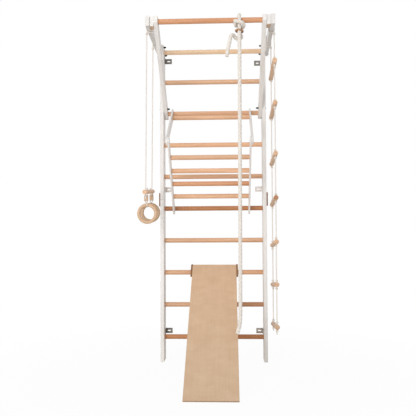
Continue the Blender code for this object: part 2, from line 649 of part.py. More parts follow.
def build_ring(name, x, y, shift, body):
    """One gym ring with its cord and its adjuster block, which lies to one side of the cord."""
    bar_z = trapeze_height(y)
    bar_half = TRAPEZE_BAR_DIAMETER / 2 / math.cos(TRAPEZE_TILT)
    ring_z = bar_z - RING_DROP
    tube_z = ring_z + (RING_DIAMETER - RING_TUBE) / 2
    piece(f"ring_{name}", torus(RING_DIAMETER, RING_TUBE), finish(f"beech_ring_{name}", "dcc0a8", 0.45), body,
          at(x, y, ring_z))
    top = bar_z - bar_half - ADJUSTER_SPACE
    low = top - ADJUSTER[2]
    return_x = x + shift * ADJUSTER_HOLES
    block = piece(f"ring_adjuster_{name}", box(ADJUSTER), PLYWOOD, body,
                  at((x + return_x) / 2, y, (top + low) / 2), PLY_ROUND)
    hole = bore(RING_CORD_DIAMETER, 2 * ADJUSTER[2])
    cut(block, [(hole, at(hole_x, y, (top + low) / 2)) for hole_x in (x, return_x)])
    round_tube = (RING_TUBE + RING_CORD_DIAMETER) / 2 + CORD_CLEARANCE
    swell, down = RING_KNOT_DIAMETER / RING_CORD_DIAMETER, (0, 0, -1)
    knot_z = bar_z + bar_half + 2 * GAP + RING_KNOT_LENGTH / 2
    under = [(x, y + round_tube * math.sin(a), tube_z - round_tube * math.cos(a))
             for a in (math.radians(d) for d in range(-90, 91, 30))]
    route = plain([(x, y, knot_z + RING_KNOT_LENGTH / 2 + GAP)])
    route += knot((x, y, knot_z), down, RING_KNOT_LENGTH, swell)
    leave = low - RING_CORD_DIAMETER / 2
    spread_z = (low + tube_z) / 2
    route += plain([(x, y, low), (x, y, leave), (x, y - round_tube * 0.75, spread_z), *under,
                    (x + shift * 0.4 * ADJUSTER_HOLES, y + round_tube * 0.75, spread_z),
                    (return_x, y, leave), (return_x, y, low)])
    route += knot((return_x, y, top + GAP + RING_KNOT_LENGTH / 2), (0, 0, 1), RING_KNOT_LENGTH, swell)
    report_gap(f"ring_cord_{name}", [p for p, _ in route], RING_CORD_DIAMETER)
    tube(f"ring_cord_{name}", route, RING_CORD_DIAMETER, COTTON, body)


def build_ladder(body):
    """A rope ladder: two knotted cords with round rungs, whose wall ends hang lower."""
    near_y = NEAR_CORD_Y + LADDER_CORD_SHIFT
    cords_y = (near_y, near_y + LADDER_CORD_SPACING)
    middle = sum(cords_y) / 2
    heights = [ARM_BOTTOM - LADDER_FIRST_DROP]
    for share in LADDER_UNEVEN:
        heights.append(heights[-1] - share * LADDER_PITCH)
    swell, down = KNOT_DIAMETER / CORD_DIAMETER, (0, 0, -1)
    for name, y in zip(("near", "far"), cords_y):
        route = arm_loop(1, y) + tied_knot(1, y)
        off = LADDER_RUNG_DIAMETER / 2 / math.cos(LADDER_TILT) + GAP + KNOT_LENGTH / 2
        for height in heights:
            z = height - math.tan(LADDER_TILT) * (y - middle)
            for knot_z in (z + off, z - off):
                route += knot((HANG_X, y, knot_z), down, KNOT_LENGTH, swell)
        route += plain([(HANG_X, y, z - off - KNOT_LENGTH / 2 - CORD_END)])
        report_gap(f"ladder_cord_{name}", [p for p, _ in route], CORD_DIAMETER)
        tube(f"ladder_cord_{name}", route, CORD_DIAMETER, COTTON, body)
    beech = finish("beech_ladder", "d6b291", 0.5)
    hole = bore(CORD_DIAMETER, 3 * LADDER_RUNG_DIAMETER)
    for i, height in enumerate(heights, 1):
        rung = piece(f"ladder_rung_{i}", rod(LADDER_RUNG_DIAMETER, LADDER_RUNG_LENGTH, 20), beech, body,
                     Matrix.Translation((HANG_X, middle, height)) @ Matrix.Rotation(-LADDER_TILT, 4, "X")
                     @ TURNS["Y"], ROD_CHAMFER, 1)
        cut(rung, [(hole, at(HANG_X, y, height - math.tan(LADDER_TILT) * (y - middle))) for y in cords_y])


def build():
    """The whole object, one body after another."""
    root = pivot("frame", (0, 0, 0))
    build_frame(root)
    build_arms(root)
    build_rope(root)
    build_insert(pivot("ladder_insert", (0, RUNG_Y, rung_height(INSERT_HOOK_RUNG)), root))
    build_slide(pivot("slide_board", (0, RUNG_Y, rung_height(SLIDE_RUNG)), root))
    trapeze = pivot("trapeze", (-HANG_X, TRAPEZE_Y, ARM_BOTTOM), root)
    bar_half = TRAPEZE_BAR_DIAMETER / 2 / math.cos(TRAPEZE_TILT)
    rings = [pivot(f"{name}_ring", (TRAPEZE_X, y, trapeze_height(y) - bar_half), trapeze)
             for name, y in zip(("near", "far"), RINGS_Y)]
    build_trapeze(trapeze, rings)
    middle = NEAR_CORD_Y + LADDER_CORD_SHIFT + LADDER_CORD_SPACING / 2
    build_ladder(pivot("rope_ladder", (HANG_X, middle, ARM_BOTTOM), root))


clear_scene()
PARTS = new_collection(OBJECT_NAME)
CUTTERS = new_collection("cutters")
WHITE = finish("white_paint", "ece8e4", 0.4)
WHITE_METAL = finish("white_metal", "e6e3df", 0.4, 0.3)
PLYWOOD = finish("brown_plywood", "b09682", 0.55)
DARK_PLY = finish("dark_plywood", "8f6a4e", 0.6)
STEEL = finish("grey_steel", "a9a6a0", 0.35, 0.9)
COTTON = finish("cotton", "f1ebe5", 0.9)
build()
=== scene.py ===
"""Dresses a packed set of home wall bars: finishes, ropes, knots and fasteners, with a stage and a camera.

Metres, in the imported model's own frame: the floor is Z = 0 and the room's wall is the plane Y = 0.
"""
import math

import bpy
from bpy.props import FloatProperty, FloatVectorProperty, IntProperty, PointerProperty
from mathutils import Matrix, Vector


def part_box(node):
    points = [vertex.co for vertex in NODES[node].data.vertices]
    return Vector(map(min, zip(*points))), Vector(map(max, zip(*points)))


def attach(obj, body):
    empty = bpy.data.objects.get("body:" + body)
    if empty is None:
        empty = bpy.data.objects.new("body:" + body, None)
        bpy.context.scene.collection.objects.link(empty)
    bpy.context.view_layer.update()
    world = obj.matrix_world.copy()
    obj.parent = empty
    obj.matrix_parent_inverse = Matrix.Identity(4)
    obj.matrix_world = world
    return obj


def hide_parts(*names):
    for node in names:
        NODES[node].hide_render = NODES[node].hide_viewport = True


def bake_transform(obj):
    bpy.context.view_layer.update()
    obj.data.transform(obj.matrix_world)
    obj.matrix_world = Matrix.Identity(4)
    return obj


bl_info = {
    "name": "Home wall bars",
    "version": (1, 0, 0),
    "blender": (4, 5, 0),
    "location": "View3D > Sidebar > Wall bars",
    "description": "Finishes, ropes, knots and fasteners for a packed set of home wall bars",
    "category": "Object",
}

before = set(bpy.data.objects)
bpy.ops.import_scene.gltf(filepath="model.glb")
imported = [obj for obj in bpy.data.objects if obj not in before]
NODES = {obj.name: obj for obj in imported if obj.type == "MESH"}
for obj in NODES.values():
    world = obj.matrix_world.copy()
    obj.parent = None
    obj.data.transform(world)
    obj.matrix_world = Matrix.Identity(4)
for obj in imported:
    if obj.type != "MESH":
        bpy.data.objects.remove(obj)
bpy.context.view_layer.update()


def middle(node):
    """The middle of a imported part's box."""
    low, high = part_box(node)
    return (low + high) / 2


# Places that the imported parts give
ARM_LOW, ARM_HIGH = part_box("right_outer_arm")
ARM_INNER, ARM_OUTER = ARM_LOW.x, ARM_HIGH.x
ARM_BOTTOM, ARM_TOP = ARM_LOW.z, ARM_HIGH.z
UPRIGHT_INNER, UPRIGHT_OUTER = (corner.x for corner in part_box("right_upright_upper"))
BRACE_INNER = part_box("right_brace")[0].x
THIRD_RUNG = middle("rung_03")
BAR = middle("pull_up_bar")
BAR_RADIUS = (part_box("pull_up_bar")[1].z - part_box("pull_up_bar")[0].z) / 2
TRAPEZE = middle("trapeze_bar")
TRAPEZE_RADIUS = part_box("trapeze_bar")[1].x - TRAPEZE.x
SIDES = (("left", -1), ("right", 1))
ORIGIN = (0, 0, 0)
UP = (0, 0, 1)

# Routes of the cords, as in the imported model
TOUCH = 0.0003                  # gap between a cord or knot and the part it lies on
CORD_SLACK = 0.0006             # the same in a bend round a rod
ROPE_X = 0.193
TRAPEZE_CORDS = (("near", -0.58), ("far", -0.28))   # name and Y
LADDER_CORDS = (("near", -0.54), ("far", -0.25))
RING_CORDS = (("near", -0.5025, -1), ("far", -0.3575, 1))   # name, Y and side of the adjuster's second hole
LADDER_TILT = math.radians(5.8)
TRAPEZE_TILT = math.radians(4.2)
KNOT_LENGTH = 0.020
CORD_END = 0.012                # loose end below a cord's last knot
RING_KNOT_LENGTH = 0.0095
RING_TOP_END = 0.004            # loose end above a ring cord's knot on the bar
RING_LOW_END = 0.004            # from the middle of its knot on the adjuster to its hidden end
ADJUSTER_HOLES = 0.016          # from an adjuster's first hole to its second

# Steps of the routes
ROPE_STEP, HITCH_STEP, CORD_STEP, RING_CORD_STEP = 0.0055, 0.0045, 0.0022, 0.0016


def linear(hex_colour):
    """Linear RGB of a colour written as six hex digits."""
    parts = [int(hex_colour[i:i + 2], 16) / 255 for i in (0, 2, 4)]
    return tuple(c / 12.92 if c <= 0.04045 else ((c + 0.055) / 1.055) ** 2.4 for c in parts)


def length_of(name, description, default):
    """A length property in metres."""
    return FloatProperty(name=name, description=description, default=default,
                         min=0.0, unit="LENGTH", precision=4)


def colour_of(name, description, hex_colour):
    """A colour property."""
    return FloatVectorProperty(name=name, description=description, default=linear(hex_colour), size=3,
                               min=0.0, max=1.0, subtype="COLOR")


class WallBarSizes(bpy.types.PropertyGroup):
    """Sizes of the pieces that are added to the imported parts."""
    rope_diameter: length_of("Rope", "Diameter of the climbing rope", 0.026)
    rope_lay: length_of("Rope lay", "Length of one turn of the climbing rope's strands", 0.078)
    cord_diameter: length_of("Cord", "Diameter of the trapeze and ladder cords", 0.008)
    cord_lay: length_of("Cord lay", "Length of one turn of these cords' strands", 0.024)
    ring_cord_diameter: length_of("Ring cord", "Diameter of the rings' cords", 0.006)
    ring_cord_lay: length_of("Ring cord lay", "Length of one turn of the ring cords' strands", 0.018)
    strands: IntProperty(name="Strands", description="Strands in a rope or cord", default=3, min=2, max=8)
    knot_width: length_of("Knot width", "Width of a knot in a trapeze or ladder cord", 0.0205)
    ring_knot_width: length_of("Ring knot width", "Width of a knot in a ring cord", 0.0125)
    collar_width: length_of("Collar width", "Width of the climbing rope's collar", 0.057)
    collar_height: length_of("Collar height", "Height of the climbing rope's collar", 0.011)
    bolt_head: length_of("Bolt head", "Diameter of the bolts' domed heads", 0.018)
    nut_width: length_of("Cap nut", "Diameter of the black cap nuts", 0.0165)
    nut_height: length_of("Cap nut height", "Height of the black cap nuts", 0.019)
    screw_head: length_of("Screw head", "Diameter of the screws' heads", 0.0085)


class WallBarColours(bpy.types.PropertyGroup):
    """Colours of the finishes."""
    paint: colour_of("Paint", "White paint of the boards", "ece9e6")
    beech_pale: colour_of("Pale beech", "Beech of the top rung", "f8dab9")
    beech: colour_of("Beech", "Beech of most rungs", "e6ba97")
    beech_warm: colour_of("Warm beech", "Beech of the pull-up bar and the insert's fourth rung", "dfa780")
    beech_red: colour_of("Red beech", "Heartwood beech of the sixth and tenth rungs", "c68a5c")
    ladder_beech: colour_of("Ladder beech", "Beech of the rope ladder's rungs and the trapeze bar", "eecfb2")
    ring_wood: colour_of("Ring wood", "Wood of the gym rings", "d9bb9c")
    veneer: colour_of("Slide veneer", "Veneer of the slide and adjusters, and bare spacer edges", "dfbf9f")
    brown_ply: colour_of("Brown plywood", "Plywood of the splice plates", "a86e3e")
    dark_ply: colour_of("Dark plywood", "Plywood of the slide's hooks", "b4865a")
    collar: colour_of("Collar", "Wood of the rope's collar", "b0835f")
    cotton: colour_of("Cotton", "Cotton of the ropes and cords", "f2ede7")
    steel: colour_of("Steel", "Zinc-plated steel of the brackets, bolts and screws", "8e8b85")
    white_metal: colour_of("White metal", "Lacquer of the middle brackets and the insert's bolts", "f8f6f4")
    black: colour_of("Black plastic", "Plastic of the cap nuts", "0c0b0b")


def settings(context):
    """The scene's sizes and colours."""
    return context.scene.wall_bar_sizes, context.scene.wall_bar_colours


# Nodes
NOISE_SPAN = (0.3, 0.7)         # where most of a noise's values lie


class Nodes:
    """Makes and links the nodes of one tree."""

    def __init__(self, tree):
        """Work on that tree."""
        self.tree = tree

    def add(self, kind, inputs=None, **values):
        """A node with its settings, and its inputs linked or set."""
        node = self.tree.nodes.new(kind)
        for name, value in values.items():
            setattr(node, name, value)
        for key, value in (inputs or {}).items():
            if isinstance(value, bpy.types.NodeSocket):
                self.tree.links.new(value, node.inputs[key])
            else:
                node.inputs[key].default_value = value
        return node

    def out(self, kind, inputs=None, **values):
        """The first output of a new node."""
        return self.add(kind, inputs, **values).outputs[0]

    def math(self, kind, *values):
        """The result of a Math node."""
        return self.out("ShaderNodeMath", dict(enumerate(values)), operation=kind)

    def weighted(self, *parts):
        """The sum of values, each times its weight."""
        total, *others = [self.math("MULTIPLY", value, weight) for value, weight in parts]
        for other in others:
            total = self.math("ADD", total, other)
        return total

    def vector(self, kind, first, second=ORIGIN, output="Vector"):
        """The result of a Vector Math node."""
        return self.add("ShaderNodeVectorMath", {0: first, 1: second}, operation=kind).outputs[output]

    def axes(self, vector):
        """A vector's X, Y and Z."""
        return self.add("ShaderNodeSeparateXYZ", {0: vector}).outputs

    def coordinates(self, kind="Object"):
        """Texture coordinates."""
        return self.add("ShaderNodeTexCoord").outputs[kind]

    def attribute(self, name, output="Fac"):
        """A named attribute of the mesh."""
        return self.add("ShaderNodeAttribute", attribute_name=name).outputs[output]

    def place(self, origin=ORIGIN, turn=ORIGIN):
        """Object coordinates seen from a piece's own origin and turn."""
        inputs = {"Vector": self.coordinates(), "Location": origin, "Rotation": turn}
        return self.out("ShaderNodeMapping", inputs, vector_type="TEXTURE")

    def noise(self, spot, stretch, detail, distortion=0.0):
        """Noise in stretched coordinates, from 0 to 1."""
        stretched = self.vector("MULTIPLY", spot, stretch)
        inputs = {"Vector": stretched, "Scale": 1.0, "Detail": detail, "Distortion": distortion}
        return self.out("ShaderNodeTexNoise", inputs)

    def remap(self, value, low, high, to_low=0.0, to_high=1.0):
        """A value's range turned into another, with its ends held."""
        inputs = {"Value": value, "From Min": low, "From Max": high, "To Min": to_low, "To Max": to_high}
        return self.out("ShaderNodeMapRange", inputs)

    def mix(self, factor, first, second, kind="MIX"):
        """Two colours mixed by a factor."""
        pair = [c if isinstance(c, bpy.types.NodeSocket) else (*c, 1.0) for c in (first, second)]
        inputs = {0: factor, 6: pair[0], 7: pair[1]}
        return self.add("ShaderNodeMix", inputs, data_type="RGBA", blend_type=kind).outputs[2]

    def stored(self, geometry, name, value, kind="FLOAT"):
        """Geometry that keeps a value under a name."""
        inputs = {"Geometry": geometry, "Name": name, "Value": value}
        return self.out("GeometryNodeStoreNamedAttribute", inputs, data_type=kind)


class Finish(Nodes):
    """The nodes of a new material, with its Principled shader."""

    def __init__(self, name):
        """Make a material of that name."""
        self.material = bpy.data.materials.new(name)
        self.material.use_nodes = True
        self.shader = self.material.node_tree.nodes["Principled BSDF"]
        super().__init__(self.material.node_tree)

    def surface(self, colour, marks, rough, height, distance, strength=0.5):
        """Link a colour, a roughness that follows some marks and a bump, and give the material."""
        roughness = self.remap(marks, *NOISE_SPAN, *rough)
        bump = self.out("ShaderNodeBump", {"Height": height, "Distance": distance, "Strength": strength})
        for name, value in (("Base Color", colour), ("Roughness", roughness), ("Normal", bump)):
            self.tree.links.new(value, self.shader.inputs[name])
        return self.material


def along(axis, slow, fast):
    """Stretch of a grain that runs along one axis."""
    return tuple(slow if i == axis else fast for i in range(3))


def shaded(colour, factor):
    """A colour made lighter or darker."""
    return tuple(min(1.0, c * factor) for c in colour)


def tinted(colour, tint):
    """A colour times a tint."""
    return tuple(c * t for c, t in zip(colour, tint))


# Finishes
# tint of the painted shade on the lower rungs' right parts
RUNG_SHADE_TINT = (0.80, 0.60, 0.46)
PALE_END, DARK_END = (0.90, 0.82, 0.74), (0.60, 0.40, 0.28)
# tint of the painted shade towards the slide's foot
SLIDE_SHADE_TINT = (0.86, 0.87, 0.88)
RING_STRIP = 0.0036             # thickness of the rings' strips


def beech(name, colour, axis=0, origin=ORIGIN, turn=ORIGIN, painted_shade=None, ends=None, end_tint=PALE_END):
    """Oiled beech with streaks, grain and flecks along it.

    painted_shade is the strength of a painted shade, darker and redder towards the positive end of its axis.
    ends gives the places of its two ends, to tint their grain.
    """
    nodes = Finish(name)
    spot = nodes.place(origin, turn)
    streaks = nodes.noise(spot, along(axis, 1.6, 34.0), 3.0, 0.4)
    grain = nodes.noise(spot, along(axis, 11.0, 310.0), 4.0)
    flecks = nodes.remap(nodes.noise(spot, along(axis, 150.0, 900.0), 1.0), 0.60, 0.72)
    tone = nodes.weighted((streaks, 0.62), (grain, 0.38))
    warm = tinted(colour, (0.80, 0.70, 0.60))
    wood = nodes.mix(nodes.remap(tone, 0.34, 0.64), warm, shaded(colour, 1.06))
    wood = nodes.mix(nodes.math("MULTIPLY", flecks, 0.45), wood, shaded(warm, 0.72))
    # painted shade: darker and redder towards the positive end of the axis
    if painted_shade is not None:
        reach = nodes.axes(nodes.coordinates())[axis]
        ragged = nodes.math("ADD", reach, nodes.math("MULTIPLY", streaks, 0.15))
        wood = nodes.mix(nodes.remap(ragged, 0.0, 0.25, 0.0, painted_shade), wood, RUNG_SHADE_TINT, "MULTIPLY")
    if ends is not None:
        run = nodes.axes(spot)[axis]
        first, last = nodes.math("SUBTRACT", run, ends[0]), nodes.math("SUBTRACT", ends[1], run)
        inside = nodes.math("MINIMUM", first, last)
        wood = nodes.mix(nodes.remap(inside, 0.0010, 0.0004), wood, end_tint, "MULTIPLY")
    height = nodes.weighted((grain, 1.0), (flecks, -0.6))
    return nodes.surface(wood, grain, (0.40, 0.56), height, 0.00025)


def painted(name, colour, axis=2, turn=ORIGIN, bare_below=None, bare=None):
    """White paint on wood: roller stipple and faint grain along the board.

    bare_below is the height under which it shows bare wood of another colour.
    """
    nodes = Finish(name)
    spot = nodes.place(turn=turn)
    grain = nodes.noise(spot, along(axis, 3.0, 130.0), 4.0, 0.3)
    cloud = nodes.noise(spot, (5.0, 5.0, 5.0), 2.0)
    stipple = nodes.noise(spot, (650.0, 650.0, 650.0), 2.0)
    tone = nodes.weighted((grain, 0.6), (cloud, 0.4))
    thin, full = tinted(colour, (0.945, 0.938, 0.928)), shaded(colour, 1.01)
    coat = nodes.mix(nodes.remap(tone, 0.32, 0.66), thin, full)
    if bare_below is not None:
        level = nodes.axes(nodes.coordinates())[2]
        ragged = nodes.math("ADD", level, nodes.math("MULTIPLY", stipple, 0.0008))
        raw = nodes.mix(nodes.remap(grain, 0.35, 0.65), shaded(bare, 0.78), bare)
        coat = nodes.mix(nodes.remap(ragged, bare_below, bare_below + 0.0006), raw, coat)
    height = nodes.weighted((grain, 0.7), (stipple, 0.3))
    return nodes.surface(coat, stipple, (0.36, 0.50), height, 0.0003)


def plywood(name, colour, thickness, plies, layer_axis, grain_axis, origin, turn=ORIGIN, shade_span=None):
    """Plywood: veneer on its two faces and plies on its edges.

    shade_span gives two places along its grain, between which the veneer gets darker with painted shade.
    """
    nodes = Finish(name)
    spot = nodes.place(origin, turn)
    streaks = nodes.noise(spot, along(grain_axis, 1.3, 46.0), 4.0, 0.5)
    grain = nodes.noise(spot, along(grain_axis, 8.0, 260.0), 4.0)
    flecks = nodes.remap(nodes.noise(spot, along(grain_axis, 130.0, 800.0), 1.0), 0.60, 0.72)
    flame = nodes.noise(spot, along(grain_axis, 13.0, 8.0), 3.0, 0.6)
    tone = nodes.weighted((streaks, 0.18), (grain, 0.30), (flame, 0.52))
    warm = tinted(colour, (0.90, 0.84, 0.77))
    veneer = nodes.mix(nodes.remap(tone, 0.32, 0.66), warm, shaded(colour, 1.04))
    veneer = nodes.mix(nodes.math("MULTIPLY", flecks, 0.30), veneer, shaded(warm, 0.78))
    places = nodes.axes(spot)
    # painted shade: the veneer darkens towards the slide's foot
    if shade_span is not None:
        veneer = nodes.mix(nodes.remap(places[grain_axis], *shade_span), veneer, SLIDE_SHADE_TINT, "MULTIPLY")
    depth = places[layer_axis]
    share = nodes.math("ADD", nodes.math("DIVIDE", depth, thickness), 0.5)
    ply = nodes.math("PINGPONG", nodes.math("MULTIPLY", share, plies), 1.0)
    edge = nodes.mix(nodes.remap(ply, 0.42, 0.58), shaded(warm, 0.50), shaded(warm, 0.84))
    edge = nodes.mix(nodes.math("MULTIPLY", grain, 0.3), edge, shaded(warm, 0.55))
    outer = nodes.remap(nodes.math("ABSOLUTE", depth), thickness * 0.44, thickness * 0.47)
    height = nodes.weighted((grain, 1.0), (flecks, -0.6))
    return nodes.surface(nodes.mix(outer, edge, veneer), grain, (0.38, 0.54), height, 0.00025, 0.45)


def metal(name, colour, metallic, rough):
    """Sheet metal with rolling marks and a clouded coat."""
    nodes = Finish(name)
    spot = nodes.place()
    marks = nodes.noise(spot, (900.0, 900.0, 60.0), 3.0)
    cloud = nodes.noise(spot, (70.0, 70.0, 70.0), 3.0)
    coat = nodes.mix(nodes.remap(cloud, 0.35, 0.65), shaded(colour, 0.80), shaded(colour, 1.05))
    nodes.shader.inputs["Metallic"].default_value = metallic
    return nodes.surface(coat, marks, (rough - 0.07, rough + 0.10), marks, 0.0001, 0.4)


def moulded(name, colour):
    """Moulded plastic with a fine spark finish and a little dust."""
    nodes = Finish(name)
    spot = nodes.place()
    spark = nodes.noise(spot, (1400.0, 1400.0, 1400.0), 2.0)
    dust = nodes.noise(spot, (120.0, 120.0, 120.0), 3.0)
    dusty = nodes.mix(nodes.remap(dust, 0.45, 0.75), colour, shaded(colour, 1.8))
    nodes.shader.inputs["Specular IOR Level"].default_value = 0.2
    return nodes.surface(dusty, spark, (0.48, 0.64), spark, 0.0001, 0.4)


def cotton(name, colour, diameter):
    """Twisted cotton: yarns along the strands, painted shade in the grooves between them, and a soft sheen.
    """
    nodes = Finish(name)
    run = nodes.math("DIVIDE", nodes.attribute("run"), diameter)
    along_run = nodes.out("ShaderNodeCombineXYZ", {2: run})
    spot = nodes.vector("ADD", nodes.attribute("ring", "Vector"), along_run)
    yarns = nodes.noise(spot, (9.0, 9.0, 1.1), 2.0)
    fuzz = nodes.noise(spot, (26.0, 26.0, 9.0), 3.0)
    soil = nodes.noise(spot, (0.6, 0.6, 0.11), 2.0)
    fibre = nodes.weighted((yarns, 0.65), (fuzz, 0.35))
    dull, clean = tinted(colour, (0.83, 0.80, 0.75)), shaded(colour, 1.02)
    thread = nodes.mix(nodes.remap(fibre, 0.34, 0.66), dull, clean)
    soiled = nodes.remap(soil, 0.45, 0.75, 0.0, 0.30)
    thread = nodes.mix(soiled, thread, tinted(colour, (0.90, 0.86, 0.80)))
    # painted shade: darker in the grooves between the strands
    shade = nodes.remap(nodes.attribute("groove"), 0.0, 0.45, 0.40, 0.0)
    thread = nodes.mix(shade, thread, tinted(colour, (0.66, 0.60, 0.54)))
    nodes.shader.inputs["Sheen Weight"].default_value = 0.25
    nodes.shader.inputs["Sheen Roughness"].default_value = 0.6
    return nodes.surface(thread, fuzz, (0.80, 0.95), fibre, diameter * 0.05, 0.6)


def laminated(name, colour, centre):
    """Bent beech strips glued into a ring: concentric glue lines, with fine grain between them."""
    nodes = Finish(name)
    spot = nodes.place(centre)
    radius = nodes.vector("LENGTH", nodes.vector("MULTIPLY", spot, (1, 0, 1)), output="Value")
    grain = nodes.noise(spot, (95.0, 260.0, 95.0), 4.0)
    strips = nodes.math("ADD", nodes.math("DIVIDE", radius, RING_STRIP), nodes.math("MULTIPLY", grain, 0.25))
    strip = nodes.math("PINGPONG", strips, 1.0)
    warm = tinted(colour, (0.86, 0.76, 0.66))
    wood = nodes.mix(nodes.remap(grain, 0.32, 0.68), warm, shaded(colour, 1.05))
    wood = nodes.mix(nodes.remap(strip, 0.06, 0.30, 0.55, 0.0), wood, shaded(warm, 0.74))
    height = nodes.math("ADD", grain, nodes.remap(strip, 0.0, 0.2))
    return nodes.surface(wood, grain, (0.40, 0.54), height, 0.0002)


def ends_of(name, line, origin):
    """Where a packed rod begins and ends on a line through a point."""
    places = [line.dot(vertex.co - Vector(origin)) for vertex in NODES[name].data.vertices]
    return min(places), max(places)


def both(pattern):
    """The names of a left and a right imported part."""
    return [pattern.format(side) for side, _ in SIDES]


def dress(material, *names):
    """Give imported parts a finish."""
    for name in names:
        node = NODES[name]
        if node.material_slots:
            for held in node.material_slots:
                held.material = material
        else:
            node.data.materials.append(material)


# Meshes
def linked(name, data):
    """An object of that data, at the origin."""
    made = bpy.data.objects.new(name, data)
    bpy.context.scene.collection.objects.link(made)
    return made


def smooth_mesh(name, points, faces, sharp_from):
    """A smooth mesh with sharp edges from an angle in degrees."""
    mesh = bpy.data.meshes.new(name)
    mesh.from_pydata(points, [], faces)
    mesh.shade_smooth()
    mesh.set_sharp_from_angle(angle=math.radians(sharp_from))
    return mesh


def turned(name, profile, sides):
    """A mesh turned round Z from (radius, height) points, with closed ends."""
    points, faces, rows = [], [], []
    for radius, height in profile:
        count = sides if radius else 1
        rows.append(range(len(points), len(points) + count))
        angles = [2 * math.pi * i / sides for i in range(count)]
        points += [(radius * math.cos(a), radius * math.sin(a), height) for a in angles]
    for low, high in zip(rows, rows[1:]):
        for i in range(sides):
            j = (i + 1) % sides
            corners = (low[i % len(low)], low[j % len(low)], high[j % len(high)], high[i % len(high)])
            faces.append(tuple(dict.fromkeys(corners)))
    return smooth_mesh(name, points, faces, 45)


def lofted(name, loops):
    """A ring-shaped mesh through closed loops of as many points each, the last joined to the first."""
    count = len(loops[0])
    points = [point for loop in loops for point in loop]
    faces = []
    for k in range(len(loops)):
        low, high = k * count, (k + 1) % len(loops) * count
        for i in range(count):
            j = (i + 1) % count
            faces.append((low + i, low + j, high + j, high + i))
    return smooth_mesh(name, points, faces, 50)


# Routes
def smooth(points, spans=8):
    """A Catmull-Rom curve through points."""
    points = [Vector(p) for p in points]
    ends = [2 * points[0] - points[1], *points, 2 * points[-1] - points[-2]]
    made = []
    for a, b, c, d in zip(ends, ends[1:], ends[2:], ends[3:]):
        for i in range(spans):
            t = i / spans
            made.append(0.5 * (2 * b + (c - a) * t + (2 * a - 5 * b + 4 * c - d) * t ** 2
                               + (3 * b - a - 3 * c + d) * t ** 3))
    return made + [points[-1]]


def measure(points):
    """Length of a line of points."""
    return sum((b - a).length for a, b in zip(points, points[1:]))


def even(points, step):
    """The same line in even steps of about that length."""
    total = measure(points)
    count = max(2, round(total / step))
    made, walked, i = [points[0]], 0.0, 0
    for k in range(1, count):
        target = total * k / count
        while walked + (points[i + 1] - points[i]).length < target:
            walked += (points[i + 1] - points[i]).length
            i += 1
        span = (points[i + 1] - points[i]).length
        made.append(points[i].lerp(points[i + 1], (target - walked) / span))
    return made + [points[-1]]


def eased(points, rounds=40):
    """The same line with its sharpest bends opened a little, and its ends and wide bends kept."""
    for step in (0.5, -0.53) * rounds:
        inner = [b + ((a + c) / 2 - b) * step for a, b, c in zip(points, points[1:], points[2:])]
        points = [points[0], *inner, points[-1]]
    return points


# Geometry Nodes trees
POINTS_PER_STRAND = 6.0         # round a rope's section
STRAND_LOBE = 0.19              # how far a strand stands out, as a share of the radius
STRAND_GROOVE = 0.82            # reach of the groove between two strands, as a share of the radius
COPY_SPIN = 1.7                 # turn from one copy to the next, in radians


def geometry_nodes(name, inputs):
    """The nodes of a new geometry tree with named inputs, and its input sockets."""
    tree = bpy.data.node_groups.new(name, "GeometryNodeTree")
    tree.is_modifier = True
    tree.interface.new_socket("Geometry", in_out="OUTPUT", socket_type="NodeSocketGeometry")
    for label, kind in {"Geometry": "Geometry", **inputs}.items():
        tree.interface.new_socket(label, in_out="INPUT", socket_type=f"NodeSocket{kind}")
    nodes = Nodes(tree)
    return nodes, nodes.add("NodeGroupInput").outputs


def finished_tree(nodes, geometry, material):
    """The tree, which ends with real geometry in one material."""
    geometry = nodes.out("GeometryNodeRealizeInstances", {"Geometry": geometry})
    geometry = nodes.out("GeometryNodeSetMaterial", {"Geometry": geometry, "Material": material})
    nodes.add("NodeGroupOutput", {0: geometry})
    return nodes.tree


def twist_tree(name):
    """Sweeps a lobed section along a curve and turns it with the lay, as strands laid into a rope."""
    inputs = {"Diameter": "Float", "Lay": "Float", "Strands": "Int", "Material": "Material"}
    nodes, given = geometry_nodes(name, inputs)
    walk = nodes.add("GeometryNodeSplineParameter").outputs
    curve = nodes.out("GeometryNodeSetCurveNormal", {"Curve": given["Geometry"]})
    turns = nodes.math("DIVIDE", walk["Length"], given["Lay"])
    tilt = nodes.math("MULTIPLY", turns, 2 * math.pi)
    curve = nodes.out("GeometryNodeSetCurveTilt", {"Curve": curve, "Tilt": tilt})
    curve = nodes.stored(curve, "run", walk["Length"])
    count = nodes.math("MULTIPLY", given["Strands"], POINTS_PER_STRAND)
    radius = nodes.math("DIVIDE", given["Diameter"], 2.0)
    section = nodes.out("GeometryNodeCurvePrimitiveCircle", {"Resolution": count, "Radius": radius})
    angle = nodes.math("MULTIPLY", walk["Factor"], 2 * math.pi)
    strands = nodes.math("MULTIPLY", nodes.math("MULTIPLY", angle, given["Strands"]), 0.5)
    lobe = nodes.math("ABSOLUTE", nodes.math("COSINE", strands))
    round_angle = {0: nodes.math("COSINE", angle), 1: nodes.math("SINE", angle)}
    section = nodes.stored(section, "ring", nodes.out("ShaderNodeCombineXYZ", round_angle), "FLOAT_VECTOR")
    section = nodes.stored(section, "groove", lobe)
    reach = nodes.math("ADD", nodes.math("MULTIPLY", lobe, STRAND_LOBE), STRAND_GROOVE)
    point = {0: nodes.out("GeometryNodeInputPosition"), "Scale": reach}
    point = nodes.out("ShaderNodeVectorMath", point, operation="SCALE")
    section = nodes.out("GeometryNodeSetPosition", {"Geometry": section, "Position": point})
    swept = {"Curve": curve, "Profile Curve": section, "Fill Caps": True}
    mesh = nodes.out("GeometryNodeCurveToMesh", swept)
    mesh = nodes.out("GeometryNodeSetShadeSmooth", {"Geometry": mesh})
    return finished_tree(nodes, mesh, given["Material"])


